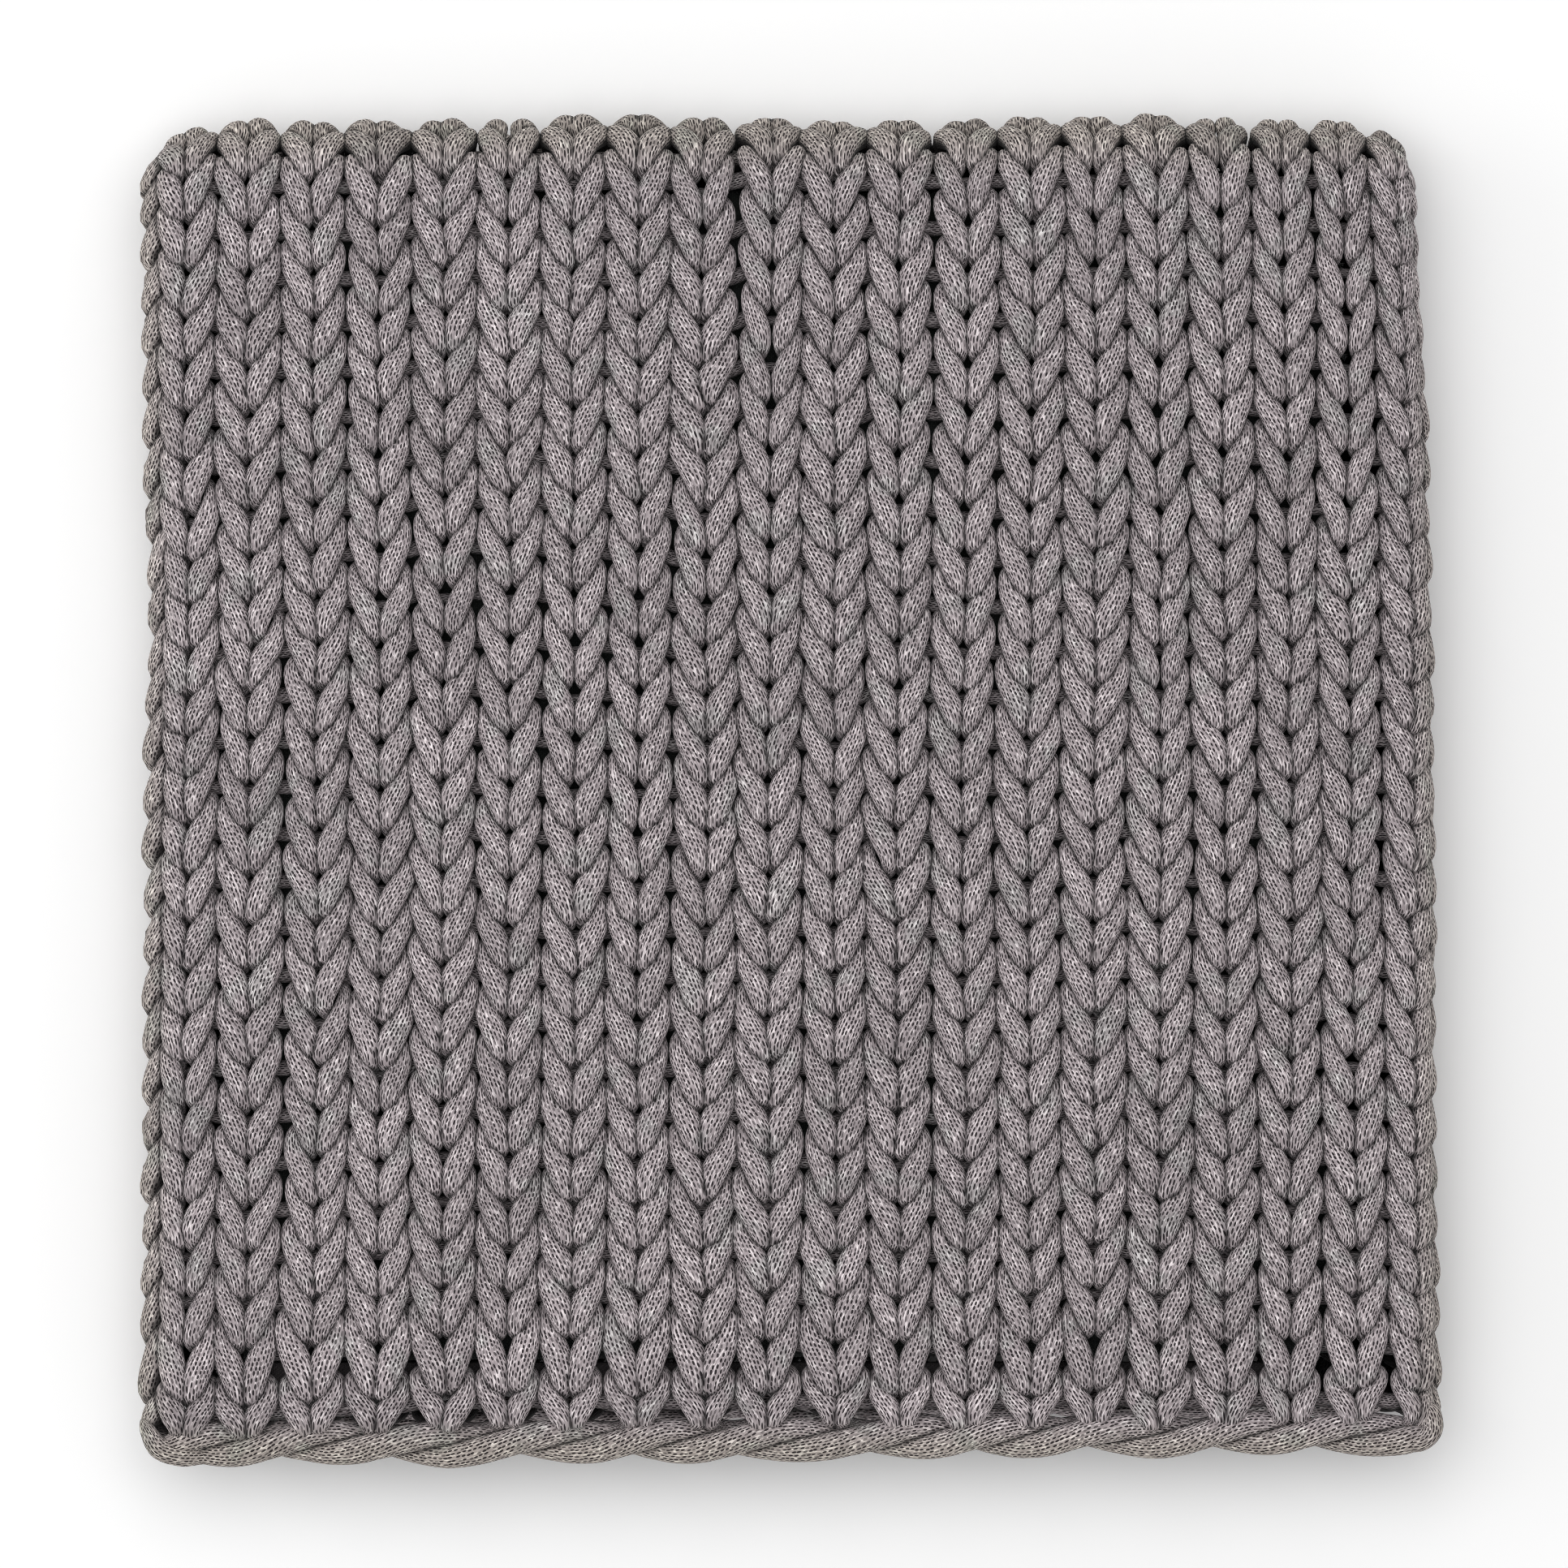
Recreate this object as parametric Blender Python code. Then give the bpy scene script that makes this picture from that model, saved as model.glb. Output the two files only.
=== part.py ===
"""Slim knitted throw pillow, lying on its back with the face up.

A thick knitted strip is folded over the top edge and seamed up both sides around a lined, padded
insert. A zipper closes the mouth at the bottom edge, between the two layers of knit.
Units are metres, X is the width, +Y is the folded edge and Z is up.
"""
import math

import bmesh
import bpy

for item in list(bpy.data.objects):
    bpy.data.objects.remove(item, do_unlink=True)

# Knitted cover
COVER_WIDTH = 0.508
COVER_LENGTH = 0.5092
KNIT_THICKNESS = 0.020
MOUTH_HEIGHT = 0.014
CROWN = 0.016
CROWN_POWER = 2.4
BACK_SHORTFALL = 0.0095
FRONT_CHAIN_DIAMETER = 0.0185
BACK_CHAIN_DIAMETER = 0.0150
CHAIN_LINK_LENGTH = 0.0254
CHAIN_LINK_RELIEF = 0.0010
SEAM_YARN_DIAMETER = 0.0056
YARN_TAIL_DIAMETER = 0.0052
YARN_TAIL_LENGTH = 0.0100

# Lining and insert
LINING_THICKNESS = 0.0010
LINING_SIDE_MARGIN = 0.0265
LINING_END_MARGIN = 0.0020
INSERT_SIDE_MARGIN = 0.0120
INSERT_END_MARGIN = 0.0220
SHELL_THICKNESS = 0.0008
BINDING_WIDTH = 0.0015
BINDING_HEIGHT = 0.0016
CORNER_RADIUS = 0.040
LABEL_WIDTH = 0.036
LABEL_LENGTH = 0.011
LABEL_THICKNESS = 0.0004
LABEL_X = 0.070
LABEL_INSET = 0.0078

# Zipper
ZIPPER_SIDE_MARGIN = 0.019
ZIPPER_RECESS = 0.0040
TAPE_MARGIN = 0.0080
TAPE_THICKNESS = 0.0006
TAPE_TURN = 0.0095
COIL_GAP = 0.0012
COIL_WIDTH = 0.0022
COIL_DEPTH = 0.0024
STOP_LENGTH = 0.0030
THREAD_DIAMETER = 0.0006
SLIDER_LENGTH = 0.0110
SLIDER_WIDTH = 0.0092
SLIDER_PLATE = 0.0010
SLIDER_LIP = 0.0009
SLIDER_NECK = 0.0006
SLIDER_NECK_LENGTH = 0.0030
BRIDGE_LENGTH = 0.0064
BRIDGE_WIDTH = 0.0028
BRIDGE_BAR = 0.0010
BRIDGE_OPENING = 0.0028
TAB_LENGTH = 0.0240
TAB_WIDTH = 0.0062
TAB_THICKNESS = 0.0011
TAB_RAIL = 0.0012
SLIDER_END_ROOM = 0.0010

# Clearances
GAP = 0.0003
CLOTH_GAP = 0.0007
RUN_GAP = 0.0003

# Derived places
EDGE_THICKNESS = 2 * KNIT_THICKNESS + MOUTH_HEIGHT
MID_Z = EDGE_THICKNESS / 2
ROLL_CENTRE = EDGE_THICKNESS / 4
ROLL_RADIUS = ROLL_CENTRE - GAP / 2
ROLL_X = COVER_WIDTH / 2 - ROLL_CENTRE
Y_TOP = (COVER_LENGTH + GAP + FRONT_CHAIN_DIAMETER) / 2
Y_FOLD = Y_TOP - MID_Z
Y_FRONT_END = Y_TOP - COVER_LENGTH
Y_BACK_END = Y_FRONT_END + BACK_SHORTFALL
PANEL_MID_Y = (Y_FRONT_END + Y_FOLD) / 2
PANEL_HALF_Y = (Y_FOLD - Y_FRONT_END) / 2
TAPE_Y = Y_BACK_END + ZIPPER_RECESS
LINING_LOW_Y = TAPE_Y + TAPE_TURN + GAP
LINING_HIGH_Y = Y_FOLD - LINING_END_MARGIN
LINING_MID_Y = (LINING_LOW_Y + LINING_HIGH_Y) / 2
LINING_HALF_X = ROLL_X - LINING_SIDE_MARGIN
ZIP_X = LINING_HALF_X - ZIPPER_SIDE_MARGIN
LINING_HALF_Y = (LINING_HIGH_Y - LINING_LOW_Y) / 2
INSERT_HALF_X = LINING_HALF_X - INSERT_SIDE_MARGIN
INSERT_HALF_Y = LINING_HALF_Y - INSERT_END_MARGIN


def material(name, colour, roughness, metallic=0.0):
    made = bpy.data.materials.new(name)
    made.use_nodes = True
    shader = made.node_tree.nodes["Principled BSDF"]
    shader.inputs["Base Color"].default_value = (*colour, 1.0)
    shader.inputs["Roughness"].default_value = roughness
    shader.inputs["Metallic"].default_value = metallic
    made.diffuse_color = (*colour, 1.0)
    return made


def add(name, vertices, faces, finish, smooth=True, origin=(0.0, 0.0, 0.0)):
    """A named object from points given about its own origin."""
    mesh = bpy.data.meshes.new(name)
    mesh.from_pydata([tuple(v) for v in vertices], [], faces)
    mesh.validate()
    work = bmesh.new()
    work.from_mesh(mesh)
    bmesh.ops.recalc_face_normals(work, faces=work.faces)
    work.to_mesh(mesh)
    work.free()
    if smooth:
        mesh.shade_smooth()
    mesh.materials.append(finish)
    made = bpy.data.objects.new(name, mesh)
    made.location = origin
    bpy.context.scene.collection.objects.link(made)
    return made


def loft(name, rings, finish, smooth=True, origin=(0.0, 0.0, 0.0), caps=True):
    """Joins closed rings of equal length, with a flat face on the first and the last."""
    count = len(rings[0])
    vertices = [point for ring in rings for point in ring]
    faces = []
    for k in range(len(rings) - 1):
        for i in range(count):
            j = (i + 1) % count
            low, high = k * count, (k + 1) * count
            faces.append((low + i, low + j, high + j, high + i))
    if caps:
        faces.append(tuple(range(count)))
        faces.append(tuple(range((len(rings) - 1) * count, len(rings) * count)))
    return add(name, vertices, faces, finish, smooth, origin)


def span(low, high, count):
    return [low + (high - low) * k / (count - 1) for k in range(count)]


def crown_at(x, y):
    across = min(abs(x) / ROLL_X, 1.0)
    along = min(abs(y - PANEL_MID_Y) / PANEL_HALF_Y, 1.0)
    return CROWN * (1 - across**CROWN_POWER) * (1 - along**CROWN_POWER)


def face_at(x, y):
    """Height of the pillow's face."""
    return EDGE_THICKNESS + crown_at(x, y)


def under_knit(x, y):
    return face_at(x, y) - KNIT_THICKNESS


def layer_section(y, front):
    """Outline of one knitted layer across the pillow, with its two rolled side edges."""
    columns = span(-ROLL_X, ROLL_X, 19 if front else 3)
    inner_x = LINING_HALF_X + GAP + LINING_THICKNESS
    columns_in = span(-inner_x, inner_x, 17 if front else 3)
    if front:
        outer = [(x, face_at(x, y)) for x in columns]
        inner = [(x, under_knit(x, y)) for x in columns_in]
        centre_z = EDGE_THICKNESS - ROLL_RADIUS
        turn = 1.0
    else:
        outer = [(x, 0.0) for x in columns]
        inner = [(x, KNIT_THICKNESS) for x in columns_in]
        centre_z = ROLL_RADIUS
        turn = -1.0
    arc = [math.radians(90 - 20 * k) for k in range(1, 10)]
    right = [(ROLL_X + ROLL_RADIUS * math.cos(a), centre_z + turn * ROLL_RADIUS * math.sin(a)) for a in arc]
    left = [(-x, z) for x, z in reversed(right)]
    foot_x = ROLL_X - ROLL_RADIUS * 0.55
    foot_z = centre_z - turn * ROLL_RADIUS
    outline = outer + right + [(foot_x, foot_z)] + inner[::-1] + [(-foot_x, foot_z)] + left
    return [(x, y, z) for x, z in outline]


def rounded_ring(half_x, half_y, corner, steps=4, side=9):
    """Points of a rounded rectangle about its centre, anticlockwise."""
    points = []
    for turn, (sx, sy) in enumerate(((1, 1), (-1, 1), (-1, -1), (1, -1))):
        cx, cy = sx * (half_x - corner), sy * (half_y - corner)
        for k in range(steps + 1):
            angle = math.radians(90 * turn + 90 * k / steps)
            points.append((cx + corner * math.cos(angle), cy + corner * math.sin(angle)))
        ahead = (((-1, 1), (-1, -1), (1, -1), (1, 1))[turn])
        nx, ny = ahead[0] * (half_x - corner), ahead[1] * (half_y - corner)
        first = math.radians(90 * (turn + 1))
        end = (nx + corner * math.cos(first), ny + corner * math.sin(first))
        start = points[-1]
        for k in range(1, side):
            share = k / side
            points.append((start[0] + (end[0] - start[0]) * share, start[1] + (end[1] - start[1]) * share))
    return points


def sheet_rings(outline, surface, rim_z, profile, inset, drop):
    """Rings of a cupped sheet: profile gives each ring's share of the outline and of the rise."""
    half = max(abs(x) for x, _ in outline)
    rings = []
    for share, rise in profile:
        scale = share - inset / half
        ring = []
        for x, y in outline:
            px, py = x * scale, y * scale + LINING_MID_Y
            ring.append((px, py, rim_z + (surface(px, py) - drop - rim_z) * rise))
        rings.append(ring)
    return rings


def cupped_sheet(name, outline, surface, rim_z, thickness, profile, finish):
    """A sewn sheet that turns down, or up, to its rim. A negative thickness is for the lower sheet."""
    outer = sheet_rings(outline, surface, rim_z, profile, 0.0, 0.0)
    inner = sheet_rings(outline, surface, rim_z, profile, abs(thickness), thickness)
    return loft(name, outer[::-1] + inner, finish)


def rod(name, points, radii, sides, finish, smooth=True):
    """A round rod through points, closed with flat ends."""
    rings = []
    for k, point in enumerate(points):
        before = points[max(k - 1, 0)]
        after = points[min(k + 1, len(points) - 1)]
        along = [b - a for a, b in zip(before, after)]
        size = math.sqrt(sum(a * a for a in along))
        along = [a / size for a in along]
        guide = (0.0, 0.0, 1.0) if abs(along[2]) < 0.8 else (1.0, 0.0, 0.0)
        side = cross(along, guide)
        size = math.sqrt(sum(a * a for a in side))
        side = [a / size for a in side]
        up = cross(side, along)
        ring = []
        for i in range(sides):
            angle = 2 * math.pi * i / sides
            c, s = radii[k] * math.cos(angle), radii[k] * math.sin(angle)
            ring.append(tuple(point[j] + c * side[j] + s * up[j] for j in range(3)))
        rings.append(ring)
    return loft(name, rings, finish, smooth)


def cross(a, b):
    return [a[1] * b[2] - a[2] * b[1], a[2] * b[0] - a[0] * b[2], a[0] * b[1] - a[1] * b[0]]


def bar(name, low, high, finish, origin=(0.0, 0.0, 0.0)):
    """A rectangular bar between two corners given about its origin."""
    corners = [(x, y, z) for z in (low[2], high[2]) for x, y in (
        (low[0], low[1]), (high[0], low[1]), (high[0], high[1]), (low[0], high[1]))]
    faces = [(3, 2, 1, 0), (4, 5, 6, 7), (0, 1, 5, 4), (1, 2, 6, 5), (2, 3, 7, 6), (3, 0, 4, 7)]
    return add(name, corners, faces, finish, smooth=False, origin=origin)


def extrusion(name, section, low_x, high_x, finish):
    """A (y, z) section run along X."""
    rings = [[(x, y, z) for y, z in section] for x in (low_x, high_x)]
    return loft(name, rings, finish, smooth=False)


def boolean(base, other, operation):
    cut = base.modifiers.new(other.name, "BOOLEAN")
    cut.operation = operation
    cut.solver = "EXACT"
    cut.object = other
    other.hide_render = True
    other.display_type = "WIRE"


def chain(name, low_x, high_x, y, z, diameter, finish):
    """A chain of knitted links as one rope, a little narrower between the links."""
    links = max(round((high_x - low_x) / CHAIN_LINK_LENGTH), 2)
    stations = span(low_x, high_x, links * 2 + 1)
    points = [(x, y, z) for x in stations]
    narrow = diameter / 2 - CHAIN_LINK_RELIEF
    radii = [narrow if k % 2 == 0 else diameter / 2 for k in range(len(stations))]
    radii[0] = radii[-1] = diameter / 4
    return rod(name, points, radii, 10, finish)


yarn = material("taupe_cotton_yarn", (0.30, 0.262, 0.272), 0.9)
seam_yarn = material("taupe_seam_yarn", (0.25, 0.218, 0.226), 0.9)
lining = material("dark_cotton_lining", (0.035, 0.030, 0.032), 0.95)
ticking = material("white_insert_ticking", (0.72, 0.71, 0.68), 0.9)
filling = material("polyester_filling", (0.82, 0.82, 0.80), 1.0)
tape_cloth = material("grey_zipper_tape", (0.16, 0.145, 0.150), 0.85)
coil_plastic = material("grey_zipper_coil", (0.20, 0.185, 0.190), 0.45)
nickel = material("nickel_slider", (0.55, 0.54, 0.53), 0.3, 1.0)
thread = material("grey_thread", (0.22, 0.20, 0.205), 0.8)
label_cloth = material("white_label_satin", (0.78, 0.77, 0.74), 0.6)

# The knitted strip: the face, the fold over the top edge and the back
front_rings = [layer_section(y, True) for y in span(Y_FRONT_END, Y_FOLD - GAP, 17)]
loft("knit_front_panel", front_rings, yarn)
back_rings = [layer_section(y, False) for y in span(Y_BACK_END, Y_FOLD - GAP, 2)]
loft("knit_back_panel", back_rings, yarn, smooth=False)

fold_stations = [(-1, math.radians(a)) for a in (90, 68, 45, 22)]
fold_stations += [(0, x) for x in span(-ROLL_X, ROLL_X, 3)]
fold_stations += [(1, math.radians(a)) for a in (22, 45, 68, 90)]
fold_rings = []
for side, value in fold_stations:
    if side:
        x = side * (ROLL_X + ROLL_CENTRE * math.sin(value))
        radius = ROLL_CENTRE * (1 + math.cos(value))
    else:
        x = value
        radius = MID_Z
    arc = [math.radians(90 - 15 * k) for k in range(13)]
    fold_rings.append([(x, Y_FOLD + radius * math.cos(a), MID_Z + radius * math.sin(a)) for a in arc])
loft("knit_top_fold", fold_rings, yarn)

# The chains that finish the two free edges at the mouth
front_chain_y = Y_FRONT_END - GAP - FRONT_CHAIN_DIAMETER / 2
front_chain_z = EDGE_THICKNESS - FRONT_CHAIN_DIAMETER / 2 - CHAIN_LINK_RELIEF
front_chain_low = -COVER_WIDTH / 2 + YARN_TAIL_DIAMETER + 2 * GAP
chain("front_bind_off_chain", front_chain_low, COVER_WIDTH / 2, front_chain_y, front_chain_z,
      FRONT_CHAIN_DIAMETER, yarn)
back_chain_y = Y_BACK_END - GAP - BACK_CHAIN_DIAMETER / 2
back_chain_z = BACK_CHAIN_DIAMETER / 2 + 2 * CHAIN_LINK_RELIEF
chain("back_cast_on_chain", -ROLL_X, ROLL_X, back_chain_y, back_chain_z, BACK_CHAIN_DIAMETER, yarn)
tail_x = -COVER_WIDTH / 2 + YARN_TAIL_DIAMETER / 2
tail_y = Y_FRONT_END - GAP
tail_points = [(tail_x, tail_y - YARN_TAIL_LENGTH * k / 3, front_chain_z) for k in range(4)]
tail_radii = [YARN_TAIL_DIAMETER * share for share in (0.18, 0.36, 0.5, 0.4)]
rod("yarn_tail", tail_points, tail_radii, 8, yarn)

# The yarn that closes each side, in the groove between the rolled edges
seam_radius = SEAM_YARN_DIAMETER / 2
seam_out = math.sqrt((ROLL_RADIUS + seam_radius + GAP) ** 2 - ROLL_CENTRE**2)
for side, name in ((-1, "left_seam_yarn"), (1, "right_seam_yarn")):
    points = [(side * (ROLL_X + seam_out), y, MID_Z) for y in span(Y_BACK_END, Y_FOLD - GAP, 9)]
    rod(name, points, [seam_radius] * 9, 8, seam_yarn)

# The lining bag, two sheets with their rims together halfway up
bag = rounded_ring(LINING_HALF_X, LINING_HALF_Y, CORNER_RADIUS)
bag_profile = [(1.0, 0.0), (0.996, 0.5), (0.982, 0.9), (0.962, 1.0), (0.86, 1.0), (0.73, 1.0), (0.58, 1.0), (0.4, 1.0),
               (0.2, 1.0), (0.05, 1.0)]
flat_profile = [(1.0, 0.0), (0.996, 0.6), (0.975, 1.0), (0.1, 1.0)]
cupped_sheet("lining_front", bag, lambda x, y: under_knit(x, y) - CLOTH_GAP, MID_Z + GAP / 2,
             LINING_THICKNESS, bag_profile, lining)
cupped_sheet("lining_back", bag, lambda x, y: KNIT_THICKNESS + GAP, MID_Z - GAP / 2,
             -LINING_THICKNESS, flat_profile, lining)

# The insert, two sewn sheets around the filling
pad = rounded_ring(INSERT_HALF_X, INSERT_HALF_Y, CORNER_RADIUS)
pad_profile = [(1.0, 0.0), (0.992, 0.3), (0.968, 0.65), (0.93, 0.9), (0.87, 1.0), (0.73, 1.0), (0.58, 1.0), (0.4, 1.0),
               (0.2, 1.0), (0.05, 1.0)]
base_profile = [(1.0, 0.0), (0.99, 0.6), (0.96, 1.0), (0.1, 1.0)]
shell_drop = 2 * CLOTH_GAP + LINING_THICKNESS
shell_floor = KNIT_THICKNESS + 2 * GAP + LINING_THICKNESS
cupped_sheet("insert_shell_front", pad, lambda x, y: under_knit(x, y) - shell_drop, MID_Z + GAP / 2,
             SHELL_THICKNESS, pad_profile, ticking)
cupped_sheet("insert_shell_back", pad, lambda x, y: shell_floor, MID_Z - GAP / 2,
             -SHELL_THICKNESS, base_profile, ticking)
fill_inset = SHELL_THICKNESS + 2 * GAP
fill_drop = shell_drop + SHELL_THICKNESS + CLOTH_GAP
fill_top = sheet_rings(pad, lambda x, y: under_knit(x, y) - fill_drop, MID_Z, pad_profile, fill_inset, 0.0)
fill_base = sheet_rings(pad, lambda x, y: shell_floor + SHELL_THICKNESS + GAP, MID_Z, base_profile[1:], fill_inset, 0.0)
loft("insert_filling", fill_top[::-1] + fill_base, filling)

bind_low, bind_high = MID_Z - BINDING_HEIGHT / 2, MID_Z + BINDING_HEIGHT / 2
bind_in = rounded_ring(INSERT_HALF_X + GAP, INSERT_HALF_Y + GAP, CORNER_RADIUS + GAP)
bind_out = rounded_ring(INSERT_HALF_X + GAP + BINDING_WIDTH, INSERT_HALF_Y + GAP + BINDING_WIDTH,
                        CORNER_RADIUS + GAP + BINDING_WIDTH)
bind_rings = []
for outline, z in ((bind_in, bind_low), (bind_out, bind_low), (bind_out, bind_high), (bind_in, bind_high),
                   (bind_in, bind_low)):
    bind_rings.append([(x, y + LINING_MID_Y, z) for x, y in outline])
count = len(bind_in)
vertices = [point for ring in bind_rings[:4] for point in ring]
faces = []
for k in range(4):
    for i in range(count):
        j = (i + 1) % count
        a, b = k * count, ((k + 1) % 4) * count
        faces.append((a + i, a + j, b + j, b + i))
add("insert_edge_binding", vertices, faces, thread, smooth=False)

label_y = LINING_LOW_Y + LABEL_INSET
label_z = KNIT_THICKNESS + 2 * GAP + LINING_THICKNESS
label_low = (LABEL_X - LABEL_WIDTH / 2, label_y, label_z)
label_high = (LABEL_X + LABEL_WIDTH / 2, label_y + LABEL_LENGTH, label_z + LABEL_THICKNESS)
bar("care_label", label_low, label_high, label_cloth)

# The zipper in the mouth. Its face looks out along -Y
for side, word in ((1, "front"), (-1, "back")):
    coil_in = MID_Z + side * COIL_GAP / 2
    coil_out = MID_Z + side * (COIL_GAP / 2 + COIL_WIDTH)
    low_z, high_z = min(coil_in, coil_out), max(coil_in, coil_out)
    half = COIL_DEPTH / 2
    section = [(TAPE_Y - half, low_z), (TAPE_Y, low_z), (TAPE_Y + half, low_z), (TAPE_Y + half, high_z),
               (TAPE_Y - half, high_z)]
    extrusion("zipper_coil_" + word, section, -ZIP_X, ZIP_X, coil_plastic)
    near = coil_out + side * GAP
    layer_inside = EDGE_THICKNESS - KNIT_THICKNESS if side > 0 else KNIT_THICKNESS
    far = layer_inside - side * GAP
    turn_in = far - side * TAPE_THICKNESS
    face_y, back_y = TAPE_Y - TAPE_THICKNESS / 2, TAPE_Y + TAPE_THICKNESS / 2
    section = [(face_y, near), (back_y, near), (back_y, turn_in), (face_y + TAPE_TURN, turn_in),
               (face_y + TAPE_TURN, far), (face_y, far)]
    extrusion("zipper_tape_" + word, section, -ZIP_X - TAPE_MARGIN, ZIP_X + TAPE_MARGIN, tape_cloth)
    stitch_z = turn_in - side * (GAP + THREAD_DIAMETER / 2)
    ends = [(x, TAPE_Y + TAPE_TURN * 0.6, stitch_z) for x in span(-ZIP_X, ZIP_X, 3)]
    rod("tape_stitching_" + word, ends, [THREAD_DIAMETER / 2] * 3, 6, thread)
    stop_half = COIL_DEPTH / 2
    bar("zipper_top_stop_" + word, (0.0, -stop_half, low_z - MID_Z), (STOP_LENGTH, stop_half, high_z - MID_Z), nickel,
        origin=(-ZIP_X - GAP - STOP_LENGTH, TAPE_Y, MID_Z))
stop_high = COIL_GAP / 2 + COIL_WIDTH
bar("zipper_bottom_stop", (0.0, -COIL_DEPTH / 2, -stop_high), (STOP_LENGTH, COIL_DEPTH / 2, stop_high), nickel,
    origin=(ZIP_X + GAP, TAPE_Y, MID_Z))

# The slider, about a point on the coils' middle line. X is along the zipper and -Y is outwards
slider_x = -ZIP_X + SLIDER_END_ROOM + SLIDER_LENGTH / 2
slider_place = (slider_x, TAPE_Y, MID_Z)
plate_in = COIL_DEPTH / 2 + RUN_GAP
plate_out = plate_in + SLIDER_PLATE
half_length, half_width = SLIDER_LENGTH / 2, SLIDER_WIDTH / 2
slot_half = TAPE_THICKNESS / 2 + RUN_GAP
plate_outline = [(-half_length, -half_width * 0.8), (-half_length * 0.4, -half_width), (half_length * 0.75, -half_width),
                 (half_length, -half_width * 0.8), (half_length, half_width * 0.8), (half_length * 0.75, half_width),
                 (-half_length * 0.4, half_width), (-half_length, half_width * 0.8)]
plate_rings = [[(x, y, z) for x, z in plate_outline] for y in (-plate_out, -plate_in)]
slider = loft("zipper_slider", plate_rings, nickel, smooth=False, origin=slider_place)
back_rings = [[(x, y, z) for x, z in plate_outline] for y in (plate_in, plate_out)]
pieces = [loft("slider_back_plate", back_rings, nickel, smooth=False, origin=slider_place)]
bite = SLIDER_PLATE / 2
neck_low = (-half_length + bite, -plate_in - bite, -SLIDER_NECK / 2)
neck_high = (-half_length + bite + SLIDER_NECK_LENGTH, plate_in + bite, SLIDER_NECK / 2)
pieces.append(bar("slider_neck", neck_low, neck_high, nickel, origin=slider_place))
lip_x = half_length * 0.7
for side in (-1, 1):
    lip_z = sorted((side * (half_width - SLIDER_LIP), side * (half_width - bite / 4)))
    for face in (-1, 1):
        lip_y = sorted((face * slot_half, face * (plate_in + bite)))
        pieces.append(bar(f"slider_lip_{side}_{face}", (-half_length * 0.35, lip_y[0], lip_z[0]),
                          (lip_x, lip_y[1], lip_z[1]), nickel, origin=slider_place))
bridge_half = BRIDGE_LENGTH / 2
bar_low = plate_out + BRIDGE_OPENING
for side in (-1, 1):
    foot_x = sorted((side * (bridge_half - BRIDGE_BAR), side * bridge_half))
    pieces.append(bar(f"slider_bridge_foot_{side}", (foot_x[0], -bar_low - bite, -BRIDGE_WIDTH / 2),
                      (foot_x[1], -plate_out + bite, BRIDGE_WIDTH / 2), nickel, origin=slider_place))
pieces.append(bar("slider_bridge_bar", (-bridge_half + bite / 2, -bar_low - BRIDGE_BAR, -BRIDGE_WIDTH / 2 + bite / 4),
                  (bridge_half - bite / 2, -bar_low, BRIDGE_WIDTH / 2 - bite / 4), nickel, origin=slider_place))
for piece in pieces:
    boolean(slider, piece, "UNION")

# The pull tab, about its hinge line, which runs along Z through the bridge's opening
tab_place = (slider_x, TAPE_Y - plate_out - BRIDGE_OPENING / 2, MID_Z)
bar_reach = math.hypot(bridge_half, BRIDGE_OPENING / 2 + BRIDGE_BAR)
window_end = bar_reach + 2 * RUN_GAP
tab_half = TAB_WIDTH / 2
nose = TAB_WIDTH * 0.3
tab_outline = [(-TAB_RAIL / 2, -tab_half), (TAB_LENGTH - nose, -tab_half), (TAB_LENGTH, -tab_half + nose),
               (TAB_LENGTH, tab_half - nose), (TAB_LENGTH - nose, tab_half), (-TAB_RAIL / 2, tab_half)]
tab_rings = [[(x, y, z) for x, z in tab_outline] for y in (-TAB_THICKNESS / 2, TAB_THICKNESS / 2)]
tab = loft("zipper_pull_tab", tab_rings, nickel, smooth=False, origin=tab_place)
window = bar("pull_tab_window", (TAB_RAIL / 2, -TAB_THICKNESS, -tab_half + TAB_RAIL),
             (window_end, TAB_THICKNESS, tab_half - TAB_RAIL), nickel, origin=tab_place)
boolean(tab, window, "DIFFERENCE")

slide_line = bpy.data.objects.new("zipper_slide_line", None)
slide_line.location = slider_place
hinge_line = bpy.data.objects.new("pull_tab_hinge_line", None)
hinge_line.location = (0.0, tab_place[1] - slider_place[1], 0.0)
for line in (slide_line, hinge_line):
    line.empty_display_size = 0.01
    bpy.context.scene.collection.objects.link(line)
hinge_line.parent = slide_line
for piece in [slider, *pieces]:
    piece.parent = slide_line
    piece.location = (0.0, 0.0, 0.0)
for piece in (tab, window):
    piece.parent = hinge_line
    piece.location = (0.0, 0.0, 0.0)
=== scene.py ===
"""Looks of the knitted pillow.

Every course of yarn is a swept tube that follows its real path through the stitches.
"""

import math

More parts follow.
